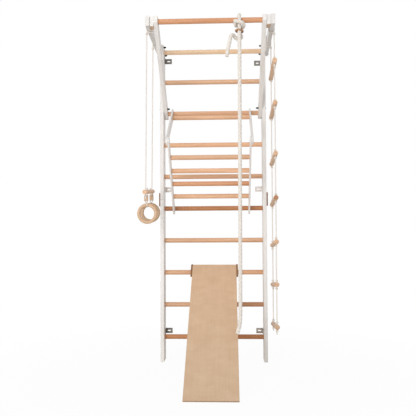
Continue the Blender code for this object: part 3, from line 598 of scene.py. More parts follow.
def copies_tree(name):
    """Puts a copy of an object on each point, turned to the point's axis and spun about it."""
    nodes, given = geometry_nodes(name, {"Copy": "Object", "Size": "Float", "Material": "Material"})
    source = nodes.add("GeometryNodeObjectInfo", {"Object": given["Copy"], "As Instance": True})
    axis = nodes.out("GeometryNodeInputNamedAttribute", {"Name": "axis"}, data_type="FLOAT_VECTOR")
    spin = nodes.out("GeometryNodeInputNamedAttribute", {"Name": "spin"}, data_type="FLOAT")
    aim = nodes.out("FunctionNodeAlignRotationToVector", {"Vector": axis}, axis="Z")
    about_axis = nodes.out("ShaderNodeCombineXYZ", {2: spin})
    turn = nodes.out("FunctionNodeEulerToRotation", {0: about_axis})
    aim = nodes.out("FunctionNodeRotateRotation", {0: aim, 1: turn}, rotation_space="LOCAL")
    inputs = {"Points": given["Geometry"], "Instance": source.outputs["Geometry"], "Rotation": aim,
              "Scale": given["Size"]}
    return finished_tree(nodes, nodes.out("GeometryNodeInstanceOnPoints", inputs), given["Material"])


def worked(carrier, make_tree, tree_name, values):
    """The plain mesh that a tree makes on an object, which is removed."""
    tree = bpy.data.node_groups.get(tree_name) or make_tree(tree_name)
    modifier = carrier.modifiers.new("made", "NODES")
    modifier.node_group = tree
    sockets = {item.name: item.identifier for item in tree.interface.items_tree if item.in_out == "INPUT"}
    for label, value in values.items():
        modifier[sockets[label]] = value
    bpy.context.view_layer.update()
    found = carrier.evaluated_get(bpy.context.evaluated_depsgraph_get())
    mesh = bpy.data.meshes.new_from_object(found)
    if not len(mesh.polygons):
        raise RuntimeError(f"{carrier.name}: its tree made no faces")
    carrier.modifiers.remove(modifier)
    bpy.data.objects.remove(carrier)
    return mesh


def laid(name, points, diameter, lay, material, cyclic=False):
    """A laid rope's mesh along points."""
    curve = bpy.data.curves.new(name, "CURVE")
    curve.dimensions = "3D"
    spline = curve.splines.new("POLY")
    spline.points.add(len(points) - 1)
    spline.use_cyclic_u = cyclic
    for point, spot in zip(spline.points, points):
        point.co = (*spot, 1.0)
    strands = bpy.context.scene.wall_bar_sizes.strands
    values = {"Diameter": diameter, "Lay": lay, "Strands": strands, "Material": material}
    mesh = worked(linked(name, curve), twist_tree, "laid_rope", values)
    mesh.name = name
    return mesh


def copies(name, spots, template, material, body):
    """One piece of copies of a template mesh at (point, axis) spots, which rides on a body."""
    points, axes = zip(*spots)
    mesh = bpy.data.meshes.new(name)
    mesh.from_pydata([tuple(point) for point in points], [], [])
    held = mesh.attributes.new("axis", "FLOAT_VECTOR", "POINT")
    held.data.foreach_set("vector", [c for axis in axes for c in axis])
    held = mesh.attributes.new("spin", "FLOAT", "POINT")
    held.data.foreach_set("value", [COPY_SPIN * i for i in range(len(spots))])
    source = linked("template", template)
    values = {"Copy": source, "Size": 1.0, "Material": material}
    made = linked(name, worked(linked(name, mesh), copies_tree, "copies_on_points", values))
    bpy.data.objects.remove(source)
    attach(made, body)
    return made


# Ropes and cords
KNOT_POINTS = 66
KNOT_RISE = 0.62                # how far a knot's lobes rise and fall, as a share of its strand
KNOT_SHARE, RING_KNOT_SHARE = 0.8, 0.7   # a knot's strand, as a share of its cord


def knot_mesh(diameter, width, lay, material):
    """An overhand knot's mesh: three lobes of cord round the middle."""
    reach = (width - diameter) / 2 / 3
    high = diameter * KNOT_RISE
    points = []
    for i in range(KNOT_POINTS):
        t = 2 * math.pi * i / KNOT_POINTS
        points.append(Vector((reach * (math.sin(t) + 2 * math.sin(2 * t)),
                              reach * (math.cos(t) - 2 * math.cos(2 * t)), -high * math.sin(3 * t))))
    length = measure(points + points[:1])
    turns = max(1, round(3 * length / lay))
    return laid("knot", points, diameter, 3 * length / turns, material, True)


COLLAR_DROP = 0.078             # from the bar's axis to the collar's middle
COLLAR_TILT = math.radians(6)   # its right side hangs lower
COLLAR_DEEPER = 0.003           # added to its half depth, because its hole is long
COLLAR_EDGE = 0.003             # its outer rounding; the inner one is half of that
COLLAR_GAP = 0.0012             # between its hole and the rope
COLLAR_SIDES = 48
ROPE_WRAP = 0.028               # between the standing part and the strand beside it


class WALLBARS_OT_climbing_rope(bpy.types.Operator):
    """Make the climbing rope: its hanging part, its hitch over the bar with the tail, and its collar"""
    bl_idname = "wallbars.climbing_rope"
    bl_label = "Climbing rope"

    def execute(self, context):
        """Two lengths that meet inside the collar."""
        sizes, colours = settings(context)
        thick = sizes.rope_diameter
        bend = BAR_RADIUS + thick / 2 + CORD_SLACK
        corner = Vector((ROPE_X, BAR.y - bend, BAR.z))   # where the standing part passes the bar's axis
        material = cotton("rope_cotton", colours.cotton, thick)
        path = even([corner + p for p in smooth(self.hanging_route())], ROPE_STEP)
        hanging = linked("climbing_rope_hanging",
                         laid("climbing_rope_hanging", path, thick, sizes.rope_lay, material))
        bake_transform(hanging)
        knot_path = eased(even([corner + p for p in smooth(self.hitch_route(bend))], HITCH_STEP))
        hitch = linked("climbing_rope_hitch",
                       laid("climbing_rope_hitch", knot_path, thick, sizes.rope_lay, material))
        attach(hitch, "frame")
        for piece in (hanging, hitch):
            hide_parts("climbing_rope")
        collar = self.collar(corner, sizes, colours)
        return {"FINISHED"}

    def hanging_route(self):
        """From inside the collar down to the end, which bends over the slide's edge."""
        return [(0, 0, -COLLAR_DROP), (0, 0, -0.16), (-0.0005, 0, -0.30), (-0.001, 0, -0.45),
                (-0.0015, 0, -0.60), (-0.0021, 0, -0.80), (-0.0028, 0, -1.00), (-0.0034, 0, -1.20),
                (-0.0044, 0, -1.40), (-0.0053, 0, -1.60), (-0.0060, 0, -1.72), (-0.0066, 0, -1.836),
                (-0.0068, 0, -1.906), (-0.0088, 0, -1.958), (-0.0135, 0, -1.998), (-0.0215, 0, -2.0245),
                (-0.0265, 0, -2.0465)]

    def hitch_route(self, bend):
        """Out of the collar, over the bar, round the standing part, back through the collar, and the tail."""
        route = [(0, 0, -COLLAR_DROP), (0, 0, -0.052), (0, 0, -0.026)]
        over = [math.pi * i / 9 for i in range(10)]
        route += [(0, bend - bend * math.cos(a), bend * math.sin(a)) for a in over]
        route += [(-0.003, 2 * bend - 0.001, -0.012), (-0.012, 0.050, -0.0285), (-0.023, 0.028, -0.0345),
                  (-0.027, 0.012, -0.0265)]
        for degrees in range(180, 451, 18):
            a = math.radians(degrees)
            fall = -0.0165 - 0.0435 * (degrees - 180) / 270
            route.append((ROPE_WRAP * math.cos(a), ROPE_WRAP * math.sin(a), fall))
        return route + [(0, ROPE_WRAP, -0.074), (0.001, ROPE_WRAP, -0.092), (0.013, 0.030, -0.105),
                        (0.005, 0.033, -0.123), (-0.020, 0.031, -0.121), (-0.042, 0.015, -0.104),
                        (-0.055, 0.001, -0.116), (-0.066, -0.003, -0.160), (-0.076, -0.005, -0.208),
                        (-0.083, -0.006, -0.2515)]

    def collar(self, corner, sizes, colours):
        """A turned wooden collar round both strands."""
        half_x = sizes.collar_width / 2
        half_y = half_x + COLLAR_DEEPER
        high = sizes.collar_height / 2
        hole = sizes.rope_diameter / 2 + COLLAR_GAP
        centre = corner + Vector((0, ROPE_WRAP / 2, -COLLAR_DROP))
        angles = [2 * math.pi * i / COLLAR_SIDES for i in range(COLLAR_SIDES)]

        def rounded(radius, degrees):
            """An edge's (inset, height) points."""
            turns = [math.radians(d) for d in degrees]
            return [(radius * (1 - math.cos(a)), high - radius + radius * math.sin(a)) for a in turns]

        def spot(x, y, z):
            """A point of the tilted collar."""
            return centre + Vector((x, y, z - math.tan(COLLAR_TILT) * x))

        def outline(inset, z):
            """A loop round the outside."""
            return [spot((half_x - inset) * math.cos(a), (half_y - inset) * math.sin(a), z) for a in angles]

        def slot(grow, z):
            """A loop round the long hole."""
            reach = hole + grow
            circle = [(reach * math.cos(a), reach * math.sin(a)) for a in angles]
            return [spot(x, math.copysign(ROPE_WRAP / 2, y) + y, z) for x, y in circle]

        outer = rounded(COLLAR_EDGE, (0, 30, 60, 90))
        inner = rounded(COLLAR_EDGE / 2, (90, 45, 0))
        loops = [outline(inset, -z) for inset, z in reversed(outer)]
        loops += [outline(inset, z) for inset, z in outer]
        loops += [slot(grow, z) for grow, z in inner] + [slot(grow, -z) for grow, z in reversed(inner)]
        made = linked("rope_collar", lofted("rope_collar", loops))
        made.data.materials.append(beech("collar_wood", colours.collar))
        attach(made, "frame")
        return made


class CordKind:
    """A cord's thickness, lay and cotton, and the mesh of its knots."""

    def __init__(self, name, thick, lay, knot_share, knot_width):
        """Make the cotton, and a knot whose strand is a share of the cord's thickness."""
        self.thick = thick
        self.lay = lay
        self.material = cotton(f"{name}_cotton", bpy.context.scene.wall_bar_colours.cotton, thick)
        self.knot = knot_mesh(thick * knot_share, knot_width, lay, self.material)


def arm_loop(side, y, diameter):
    """A cord's tied end: out of its knot, under the arm, up inside it, over its top and down outside it."""
    off = diameter / 2 + TOUCH
    hang = ARM_OUTER + off
    line = [(hang - 0.003, ARM_BOTTOM - diameter - 0.008), (hang - 0.009, ARM_BOTTOM - off - 0.003),
            (hang - 0.018, ARM_BOTTOM - off)]
    corners = (((ARM_INNER, ARM_BOTTOM), 270), ((ARM_INNER, ARM_TOP), 180), ((ARM_OUTER, ARM_TOP), 90))
    for (x, z), first in corners:
        angles = [math.radians(first - 90 * i / 4) for i in range(5)]
        line += [(x + off * math.cos(a), z + off * math.sin(a)) for a in angles]
    return [(side * x, y, z) for x, z in line], side * hang


def trapeze_height(y):
    """Height of the tilted trapeze bar's axis at a place along Y."""
    return TRAPEZE.z + math.tan(TRAPEZE_TILT) * (y - TRAPEZE.y)


def finish_cord(name, path, kind, bodies, knots):
    made = linked(name + "_laid", laid(name + "_laid", path, kind.thick, kind.lay, kind.material))
    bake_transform(made)
    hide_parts(name)
    for body, places in zip(bodies, knots):
        spots = [(place, UP) for place in places]
        copies(f"{name}_knots_{body}", spots, kind.knot, kind.material, body)


class WALLBARS_OT_trapeze_cords(bpy.types.Operator):
    """Make the trapeze's two cords, each looped over the arm and knotted under the bar"""
    bl_idname = "wallbars.trapeze_cords"
    bl_label = "Trapeze cords"

    def execute(self, context):
        """One cord and two knots for each end of the bar."""
        sizes, _ = settings(context)
        thick, x = sizes.cord_diameter, TRAPEZE.x
        kind = CordKind("trapeze", thick, sizes.cord_lay, KNOT_SHARE, sizes.knot_width)
        half = KNOT_LENGTH / 2
        for name, y in TRAPEZE_CORDS:
            knot_z = trapeze_height(y) - TRAPEZE_RADIUS / math.cos(TRAPEZE_TILT) - TOUCH - half
            loop, tied_x = arm_loop(-1, y, thick)
            high, low = Vector((tied_x, y, ARM_BOTTOM - thick - KNOT_LENGTH)), Vector((x, y, knot_z + half))
            line = [loop[-1], *(high.lerp(low, i / 7) for i in range(8)), (x, y, knot_z),
                    (x, y, knot_z - half - CORD_END)]
            path = even([Vector(p) for p in loop] + smooth(line)[1:], CORD_STEP)
            knots = [[(tied_x, y, ARM_BOTTOM - thick - half)], [(x, y, knot_z)]]
            finish_cord(f"trapeze_cord_{name}", path, kind, ("frame", "trapeze"), knots)
        return {"FINISHED"}


class WALLBARS_OT_ladder_cords(bpy.types.Operator):
    """Make the rope ladder's two cords, knotted above and below each rung"""
    bl_idname = "wallbars.ladder_cords"
    bl_label = "Rope ladder cords"

    def execute(self, context):
        """One cord and its knots for each side of the ladder."""
        sizes, _ = settings(context)
        thick = sizes.cord_diameter
        kind = CordKind("ladder", thick, sizes.cord_lay, KNOT_SHARE, sizes.knot_width)
        half = KNOT_LENGTH / 2
        centre = sum(y for _, y in LADDER_CORDS) / 2
        radius = (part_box("ladder_rung_1")[1].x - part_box("ladder_rung_1")[0].x) / 2
        off = radius / math.cos(LADDER_TILT) + TOUCH + half
        for name, y in LADDER_CORDS:
            loop, x = arm_loop(1, y, thick)
            fall = math.tan(LADDER_TILT) * (y - centre)
            rungs = [middle(f"ladder_rung_{number}").z - fall for number in range(1, 8)]
            tied = [(x, y, z + shift) for z in rungs for shift in (off, -off)]
            line = [loop[-1], (x, y, ARM_BOTTOM - 0.05), *tied, (x, y, tied[-1][2] - half - CORD_END)]
            path = even([Vector(p) for p in loop] + smooth(line, 4)[1:], CORD_STEP)
            knots = [[(x, y, ARM_BOTTOM - thick - half)], tied]
            finish_cord(f"ladder_cord_{name}", path, kind, ("frame", "rope_ladder"), knots)
        return {"FINISHED"}


class WALLBARS_OT_ring_cords(bpy.types.Operator):
    """Make the rings' cords, each through the bar, its adjuster and round its ring"""
    bl_idname = "wallbars.ring_cords"
    bl_label = "Ring cords"

    def execute(self, context):
        """One cord, with a knot on the bar and one on the adjuster, for each ring."""
        sizes, _ = settings(context)
        thick, x = sizes.ring_cord_diameter, TRAPEZE.x
        kind = CordKind("ring", thick, sizes.ring_cord_lay, RING_KNOT_SHARE, sizes.ring_knot_width)
        half = RING_KNOT_LENGTH / 2
        bar_half = TRAPEZE_RADIUS / math.cos(TRAPEZE_TILT)
        for name, y, side in RING_CORDS:
            low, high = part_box(f"ring_adjuster_{name}")
            ring_low, ring_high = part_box(f"ring_{name}")
            tube = (ring_high.y - ring_low.y) / 2
            tube_z = ring_high.z - tube
            bend = tube + thick / 2 + CORD_SLACK
            back_x, bar_z = x + side * ADJUSTER_HOLES, trapeze_height(y)
            top_z, knot_z = bar_z + bar_half + TOUCH + half, high.z + TOUCH + half
            inside, leave, spread = (low.z + high.z) / 2, low.z - thick / 2, (low.z + tube_z) / 2
            falls = (top_z + half + RING_TOP_END, top_z, bar_z, high.z, inside, low.z, leave)
            line = [(x, y, z) for z in falls]
            line.append((x, y - bend * 0.75, spread))
            round_ring = [math.radians(d) for d in range(-90, 91, 30)]
            line += [(x, y + bend * math.sin(a), tube_z - bend * math.cos(a)) for a in round_ring]
            line.append((x + side * 0.4 * ADJUSTER_HOLES, y + bend * 0.75, spread))
            line += [(back_x, y, z) for z in (leave, low.z, inside, high.z, knot_z + RING_LOW_END)]
            path = even(smooth(line, 6), RING_CORD_STEP)
            knots = [[(x, y, top_z)], [(back_x, y, knot_z)]]
            finish_cord(f"ring_cord_{name}", path, kind, ("trapeze", f"{name}_ring"), knots)
        return {"FINISHED"}


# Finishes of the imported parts
BARE_EDGE = 0.002               # height of the spacers' bare lower edge
PLATE_ENDS = 0.06               # what the round ends of the insert's plates add to their boxes
SLIDE_THICKNESS = 0.012
SLIDE_SHADE_SPAN = (0.35, -0.60)      # painted shade: along the slide from its middle, where it darkens towards its foot
RUNG_SHADE = {8: 0.40, 9: 0.65, 10: 0.18}   # strength of the painted shade on the right part of the lower rungs
LADDER_TONES = (0.96, 0.95, 0.93, 0.90, 0.91, 0.86, 0.78)
DARK_LADDER_RUNG = 4
RUNG_GRAIN, LADDER_GRAIN, INSERT_GRAIN = 0.7, 0.8, 0.9   # along the grain from one rod to the next
BAR_GRAIN_START, INSERT_GRAIN_START = 9.3, 12


class WALLBARS_OT_paint_boards(bpy.types.Operator):
    """Paint the uprights, arms, braces, spacers and insert plates white, with the grain along each board"""
    bl_idname = "wallbars.paint_boards"
    bl_label = "Painted boards"

    def execute(self, context):
        """One paint for each direction of grain."""
        _, colours = settings(context)
        uprights = both("{}_upright_lower") + both("{}_upright_upper")
        dress(painted("upright_paint", colours.paint, 2), *uprights)
        # The arms get the white paint 6 % darker: painted shade.
        dress(painted("arm_paint", shaded(colours.paint, 0.94), 1), *both("{}_outer_arm"))
        spacer = painted("spacer_paint", colours.paint, 1, bare_below=ARM_BOTTOM + BARE_EDGE,
                         bare=colours.veneer)
        dress(spacer, *both("{}_spacer"))
        lean = math.atan2(THIRD_RUNG.z - BAR.z, THIRD_RUNG.y - BAR.y)
        dress(painted("brace_paint", colours.paint, 1, (lean, 0, 0)), *both("{}_brace"))
        for half, sign in (("upper", 1), ("lower", -1)):
            low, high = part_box(f"insert_left_{half}_plate")
            slope = sign * math.atan2(high.z - low.z - PLATE_ENDS, high.y - low.y - PLATE_ENDS)
            plates = [f"insert_{side}_{half}_plate" for side, _ in SIDES]
            dress(painted(f"insert_{half}_paint", colours.paint, 1, (slope, 0, 0)), *plates)
        return {"FINISHED"}


class WALLBARS_OT_beech_rods(bpy.types.Operator):
    """Give every rung, bar and ring its beech, each wall rung with its own tone"""
    bl_idname = "wallbars.beech_rods"
    bl_label = "Beech rods and rings"

    def execute(self, context):
        """Grain along each rod, and a new stretch of it for each."""
        _, colours = settings(context)
        plain, red = colours.beech, colours.beech_red
        rungs = ((colours.beech_pale, 1.0), (plain, 0.94), (plain, 0.96), (plain, 1.13), (plain, 0.98),
                 (red, 0.93), (plain, 0.95), (plain, 1.01), (plain, 0.91), (red, 1.04))
        for number, (tone, factor) in enumerate(rungs, 1):
            wood = beech(f"rung_beech_{number:02d}", shaded(tone, factor), 0, (RUNG_GRAIN * number, 0, 0),
                         painted_shade=RUNG_SHADE.get(number))
            dress(wood, f"rung_{number:02d}")
        dress(beech("bar_beech", colours.beech_warm, 0, (BAR_GRAIN_START, 0, 0)), "pull_up_bar")
        insert = ((plain, 0.98), (plain, 0.94), (plain, 1.07), (colours.beech_warm, 0.98), (plain, 1.02))
        for number, (tone, factor) in enumerate(insert, 1):
            origin = (INSERT_GRAIN * number + INSERT_GRAIN_START, 0, 0)
            dress(beech(f"insert_beech_{number}", shaded(tone, factor), 0, origin), f"insert_rung_{number}")
        line = Vector((0, math.cos(TRAPEZE_TILT), math.sin(TRAPEZE_TILT)))
        dress(beech("trapeze_beech", colours.ladder_beech, 1, TRAPEZE, (TRAPEZE_TILT, 0, 0),
                    ends=ends_of("trapeze_bar", line, TRAPEZE)), "trapeze_bar")
        line = Vector((0, math.cos(LADDER_TILT), -math.sin(LADDER_TILT)))
        for number, factor in enumerate(LADDER_TONES, 1):
            name, origin = f"ladder_rung_{number}", (0, LADDER_GRAIN * number, 0)
            end_tint = DARK_END if number == DARK_LADDER_RUNG else PALE_END
            dress(beech(f"ladder_beech_{number}", shaded(colours.ladder_beech, factor), 1, origin,
                        (-LADDER_TILT, 0, 0), ends=ends_of(name, line, origin), end_tint=end_tint), name)
        # The far ring gets the same wood 14 % darker: painted shade on the ring behind the near one.
        for name, factor in (("near", 1.0), ("far", 0.86)):
            colour, centre = shaded(colours.ring_wood, factor), middle(f"ring_{name}")
            dress(laminated(f"ring_wood_{name}", colour, centre), f"ring_{name}")
        return {"FINISHED"}


class WALLBARS_OT_plywood(bpy.types.Operator):
    """Give the slide board, its hooks, the splice plates and the adjusters their plywood"""
    bl_idname = "wallbars.plywood"
    bl_label = "Plywood"

    def execute(self, context):
        """Plies across each piece's own thickness."""
        _, colours = settings(context)
        low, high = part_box("slide_panel")
        size = high - low
        slope = math.atan2(size.z, size.y)
        for _ in range(20):   # the board's thickness takes part of its box, so the slope settles by steps
            slope = math.atan2(size.z - SLIDE_THICKNESS * math.cos(slope),
                               size.y - SLIDE_THICKNESS * math.sin(slope))
        dress(plywood("slide_veneer", colours.veneer, SLIDE_THICKNESS, 9, 2, 1, middle("slide_panel"),
                      (slope, 0, 0), SLIDE_SHADE_SPAN), "slide_panel")
        parts = [(name, f"{name}_ply", colours.dark_ply, 9, 0, 1) for name in both("slide_{}_hook")]
        parts += [(name, f"{name}_ply", colours.brown_ply, 7, 0, 2) for name in both("{}_splice_plate")]
        adjuster = shaded(colours.veneer, 0.78)
        for name in ("near", "far"):
            parts.append((f"ring_adjuster_{name}", f"adjuster_{name}_ply", adjuster, 13, 1, 0))
        for name, finish, colour, plies, layer_axis, grain_axis in parts:
            low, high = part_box(name)
            thickness = high[layer_axis] - low[layer_axis]
            dress(plywood(finish, colour, thickness, plies, layer_axis, grain_axis, middle(name)), name)
        return {"FINISHED"}


class WALLBARS_OT_brackets(bpy.types.Operator):
    """Give the wall brackets their steel or white lacquer"""
    bl_idname = "wallbars.brackets"
    bl_label = "Wall brackets"

    def execute(self, context):
        """Zinc at the top and bottom, the last one twice as bright as a painted highlight, and white lacquer
        in the middle.
        """
        _, colours = settings(context)
        steel = metal("bracket_steel", colours.steel, 0.6, 0.48)
        dress(steel, "left_top_bracket", "right_top_bracket", "left_bottom_bracket")
        # painted highlight: the same zinc twice as bright for the light this bracket faces, with a smoother
        # finish
        dress(metal("bracket_bright_steel", shaded(colours.steel, 2.0), 0.7, 0.36), "right_bottom_bracket")
        dress(painted("bracket_lacquer", colours.white_metal), *both("{}_middle_bracket"))
        return {"FINISHED"}


# Fasteners
SUNK = 0.0004                   # how far a fastener's foot is sunk into the board
BOLT_HEAD_HEIGHT = 0.0042
ARM_BOLTS = ((-0.095, ARM_TOP - 0.0155), (-0.025, ARM_BOTTOM + 0.0095))   # Y and Z
BRACE_BOLT = 0.046              # up the brace from the third rung's axis
APEX_BOLT = 0.030               # in from the corner of the insert's lower plates
BRACKET_LEG = 0.0025            # thickness of a bracket's side leg
BRACKET_SCREW_Y, BRACKET_SCREW_Z = 0.015, 0.011   # from the leg's end, and up and down from its middle
SPLICE_SCREW_Y, SPLICE_SCREW_Z = 0.030, 0.034     # from the middle of a splice plate


def fastener(name, width, height, foot, outline, sides):
    """A fastener's mesh from a foot and an outline, in shares of its radius and its height."""
    radius = width / 2
    profile = [(0.0, -SUNK), (radius * foot, -SUNK)]
    profile += [(radius * reach, height * level) for reach, level in outline]
    return turned(name, profile, sides)


def domed_head(width):
    """A coach bolt's domed head."""
    outline = ((1.0, 0.12), (0.97, 0.36), (0.84, 0.66), (0.58, 0.89), (0.28, 0.98), (0.0, 1.0))
    return fastener("bolt_head", width, BOLT_HEAD_HEIGHT, 0.96, outline, 20)


def cap_nut(width, height):
    """A cap nut: a flange, a body and a rounded tip."""
    outline = ((1.0, 0.13), (0.93, 0.18), (0.80, 0.21), (0.78, 0.58), (0.70, 0.76), (0.50, 0.91),
               (0.24, 0.98), (0.0, 1.0))
    return fastener("cap_nut", width, height, 1.0, outline, 12)


def pan_head(width):
    """A screw's pan head with its driver recess, in shares of its radius alone."""
    outline = ((1.0, 0.22), (0.86, 0.44), (0.50, 0.56), (0.34, 0.56), (0.22, 0.16), (0.0, 0.10))
    return fastener("pan_head", width, width / 2, 1.0, outline, 12)


class WALLBARS_OT_bolts(bpy.types.Operator):
    """Set the arms' and braces' bolts, with black cap nuts inside, and the insert's, with two low heads"""
    bl_idname = "wallbars.bolts"
    bl_label = "Bolts and cap nuts"

    def execute(self, context):
        """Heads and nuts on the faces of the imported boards."""
        sizes, colours = settings(context)
        steel = metal("bolt_zinc", colours.steel, 1.0, 0.30)
        black = moulded("nut_plastic", colours.black)
        white = metal("bolt_lacquer", colours.white_metal, 0.0, 0.42)
        heads, nuts, insert_heads = [], [], []
        lean = Vector((0, BAR.y - THIRD_RUNG.y, BAR.z - THIRD_RUNG.z)).normalized()
        brace_spot = Vector((0, THIRD_RUNG.y, THIRD_RUNG.z)) + lean * BRACE_BOLT
        low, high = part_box("insert_left_lower_plate")
        apex_y, apex_z = low.y + APEX_BOLT, high.z - APEX_BOLT
        for name, side in SIDES:
            out, inward = (side, 0, 0), (-side, 0, 0)
            for y, z in ARM_BOLTS:
                heads.append(((side * ARM_OUTER, y, z), out))
                nuts.append(((side * UPRIGHT_INNER, y, z), inward))
            heads.append(((side * UPRIGHT_OUTER, brace_spot.y, brace_spot.z), out))
            nuts.append(((side * BRACE_INNER, brace_spot.y, brace_spot.z), inward))
            upper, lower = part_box(f"insert_{name}_upper_plate"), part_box(f"insert_{name}_lower_plate")
            insert_heads.append(((upper[side > 0].x, apex_y, apex_z), out))
            insert_heads.append(((lower[side < 0].x, apex_y, apex_z), inward))
        head = domed_head(sizes.bolt_head)
        nut = cap_nut(sizes.nut_width, sizes.nut_height)
        copies("arm_bolt_heads", heads, head, steel, "frame")
        copies("arm_cap_nuts", nuts, nut, black, "frame")
        copies("insert_bolt_heads", insert_heads, head, white, "ladder_insert")
        return {"FINISHED"}


class WALLBARS_OT_screws(bpy.types.Operator):
    """Set the screws of the wall brackets and the splice plates"""
    bl_idname = "wallbars.screws"
    bl_label = "Screws"

    def execute(self, context):
        """Two screws in each bracket's side leg and four in each splice plate."""
        sizes, colours = settings(context)
        steel = metal("screw_zinc", colours.steel, 1.0, 0.28)
        spots = []
        for name, side in SIDES:
            for level in ("top", "middle", "bottom"):
                low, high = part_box(f"{name}_{level}_bracket")
                face = (low.x + BRACKET_LEG) if side < 0 else (high.x - BRACKET_LEG)
                y, z = low.y + BRACKET_SCREW_Y, (low.z + high.z) / 2
                spots += [((face, y, z + up), (-side, 0, 0)) for up in (-BRACKET_SCREW_Z, BRACKET_SCREW_Z)]
            low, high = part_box(f"{name}_splice_plate")
            centre, face = (low + high) / 2, (low.x if side < 0 else high.x)
            for across in (-SPLICE_SCREW_Y, SPLICE_SCREW_Y):
                for up in (-SPLICE_SCREW_Z, SPLICE_SCREW_Z):
                    spots.append(((face, centre.y + across, centre.z + up), (side, 0, 0)))
        copies("screws", spots, pan_head(sizes.screw_head), steel, "frame")
        return {"FINISHED"}


# Stage
CAMERA_PLACE = (0.1117, -4.1968, 1.0041)
CAMERA_YAW, CAMERA_PITCH, CAMERA_ROLL = -0.0371, 0.0355, -0.0054
CAMERA_LENS, CAMERA_SENSOR = 47.0, 36.0   # millimetres
CAMERA_CLIP = (0.05, 100.0)
FLOOR_REACH, FLOOR_DROP = 30.0, 0.0005
FLOOR_TONES = ((0.82, 0.80, 0.78), (0.85, 0.83, 0.81))
FLOOR_MIDDLE = (0.0, -0.45, 0.0)          # under the set
FLOOR_FADE = (0.9, 2.2)                   # distances from there, near and away
FLOOR_WHITE = (0.95, 1.0)                 # share of plain white that the camera sees at these
SKY_RISE, SKY_LIGHT = (0.15, 0.95), (0.74, 0.56)   # the soft light falls off as a ray rises
LAMPS = (("front_lamp", (-3.2, -8.4, 1.9), (0, -0.2, 1.2), 5.0, 375.0),   # name, place, aim, width and watts
         ("top_lamp", (0.8, -1.6, 5.2), (0, -0.4, 1.0), 3.0, 6.0))


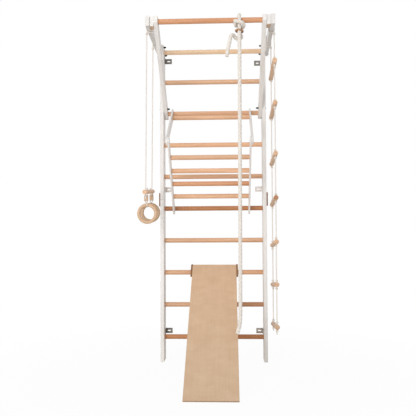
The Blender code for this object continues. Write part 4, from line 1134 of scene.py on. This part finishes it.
class WALLBARS_OT_stage(bpy.types.Operator):
    """Set the floor, the white surroundings, the soft lights and the camera"""
    bl_idname = "wallbars.stage"
    bl_label = "Stage"

    def execute(self, context):
        """A pale floor with a soft shadow, under a white studio sky."""
        scene = context.scene
        scene.view_settings.view_transform = "Standard"
        self.camera(scene)
        self.floor()
        self.sky(scene)
        for lamp in LAMPS:
            self.lamp(*lamp)
        return {"FINISHED"}

    def camera(self, scene):
        """The photograph's viewing angle."""
        level = math.cos(CAMERA_PITCH)
        ahead = Vector((math.sin(CAMERA_YAW) * level, math.cos(CAMERA_YAW) * level, math.sin(CAMERA_PITCH)))
        right = Vector((math.cos(CAMERA_YAW), -math.sin(CAMERA_YAW), 0))
        up = right.cross(ahead)
        across = right * math.cos(CAMERA_ROLL) + up * math.sin(CAMERA_ROLL)
        above = up * math.cos(CAMERA_ROLL) - right * math.sin(CAMERA_ROLL)
        data = bpy.data.cameras.new("camera")
        data.lens, data.sensor_width, data.sensor_fit = CAMERA_LENS, CAMERA_SENSOR, "HORIZONTAL"
        data.clip_start, data.clip_end = CAMERA_CLIP
        camera = linked("camera", data)
        turn = Matrix((across, above, -ahead)).transposed().to_4x4()
        camera.matrix_world = Matrix.Translation(CAMERA_PLACE) @ turn
        scene.camera = camera

    def floor(self):
        """A wide pale floor that shows as near white and keeps a faint shadow."""
        mesh = bpy.data.meshes.new("floor")
        signs = ((-1, -1), (1, -1), (1, 1), (-1, 1))
        corners = [(x * FLOOR_REACH, y * FLOOR_REACH, -FLOOR_DROP) for x, y in signs]
        mesh.from_pydata(corners, [], [(0, 1, 2, 3)])
        nodes = Finish("floor_white")
        spot = nodes.place()
        clouds = nodes.noise(spot, (2.0, 2.0, 2.0), 2.0)
        nodes.tree.links.new(nodes.mix(clouds, *FLOOR_TONES), nodes.shader.inputs["Base Color"])
        nodes.shader.inputs["Roughness"].default_value = 0.9
        white = nodes.out("ShaderNodeEmission", {"Color": (1, 1, 1, 1), "Strength": 1.0})
        away = nodes.vector("DISTANCE", spot, FLOOR_MIDDLE, "Value")
        camera_ray = nodes.add("ShaderNodeLightPath").outputs["Is Camera Ray"]
        seen = nodes.math("MULTIPLY", camera_ray, nodes.remap(away, *FLOOR_FADE, *FLOOR_WHITE))
        surface = nodes.out("ShaderNodeMixShader", {0: seen, 1: nodes.shader.outputs[0], 2: white})
        nodes.tree.links.new(surface, nodes.tree.nodes["Material Output"].inputs["Surface"])
        mesh.materials.append(nodes.material)
        linked("floor", mesh)

    def sky(self, scene):
        """White where it is seen or mirrored, and elsewhere a softer light that falls off overhead."""
        world = bpy.data.worlds.new("studio")
        world.use_nodes = True
        nodes = Nodes(world.node_tree)
        rays = nodes.add("ShaderNodeLightPath").outputs
        mirrored = nodes.math("MAXIMUM", rays["Is Glossy Ray"], rays["Is Transmission Ray"])
        seen = nodes.math("MAXIMUM", rays["Is Camera Ray"], mirrored)
        rise = nodes.axes(nodes.coordinates("Generated"))[2]
        soft = nodes.remap(rise, *SKY_RISE, *SKY_LIGHT)
        background = nodes.tree.nodes["Background"]
        nodes.tree.links.new(nodes.math("MAXIMUM", seen, soft), background.inputs["Strength"])
        background.inputs["Color"].default_value = (1, 1, 1, 1)
        scene.world = world

    def lamp(self, name, spot, aim, size, watts):
        """A square soft lamp aimed at a point."""
        data = bpy.data.lights.new(name, "AREA")
        data.size, data.energy = size, watts
        turn = (Vector(aim) - Vector(spot)).to_track_quat("-Z", "Y").to_matrix().to_4x4()
        linked(name, data).matrix_world = Matrix.Translation(spot) @ turn


class WALLBARS_PT_panel(bpy.types.Panel):
    """The wall bars' pieces, sizes and colours"""
    bl_idname = "WALLBARS_PT_panel"
    bl_label = "Wall bars"
    bl_space_type = "VIEW_3D"
    bl_region_type = "UI"
    bl_category = "Wall bars"

    def draw(self, context):
        """List the operators, then the properties."""
        for operator in OPERATORS:
            self.layout.operator(operator.bl_idname)
        for held in settings(context):
            for name in held.__annotations__:
                self.layout.prop(held, name)


OPERATORS = (WALLBARS_OT_stage, WALLBARS_OT_climbing_rope, WALLBARS_OT_trapeze_cords, WALLBARS_OT_ring_cords,
             WALLBARS_OT_ladder_cords, WALLBARS_OT_paint_boards, WALLBARS_OT_beech_rods, WALLBARS_OT_plywood,
             WALLBARS_OT_brackets, WALLBARS_OT_bolts, WALLBARS_OT_screws)
CLASSES = (WallBarSizes, WallBarColours, *OPERATORS, WALLBARS_PT_panel)


def register():
    """Register the classes and hang the properties on the scene."""
    for kind in CLASSES:
        bpy.utils.register_class(kind)
    bpy.types.Scene.wall_bar_sizes = PointerProperty(type=WallBarSizes)
    bpy.types.Scene.wall_bar_colours = PointerProperty(type=WallBarColours)


def unregister():
    """Take the properties and the classes away again."""
    del bpy.types.Scene.wall_bar_sizes
    del bpy.types.Scene.wall_bar_colours
    for kind in reversed(CLASSES):
        bpy.utils.unregister_class(kind)


def main():
    register()
    bpy.ops.wallbars.stage()
    bpy.ops.wallbars.climbing_rope()
    bpy.ops.wallbars.trapeze_cords()
    bpy.ops.wallbars.ring_cords()
    bpy.ops.wallbars.ladder_cords()
    bpy.ops.wallbars.paint_boards()
    bpy.ops.wallbars.beech_rods()
    bpy.ops.wallbars.plywood()
    bpy.ops.wallbars.brackets()
    bpy.ops.wallbars.bolts()
    bpy.ops.wallbars.screws()


if __name__ == "__main__":
    main()
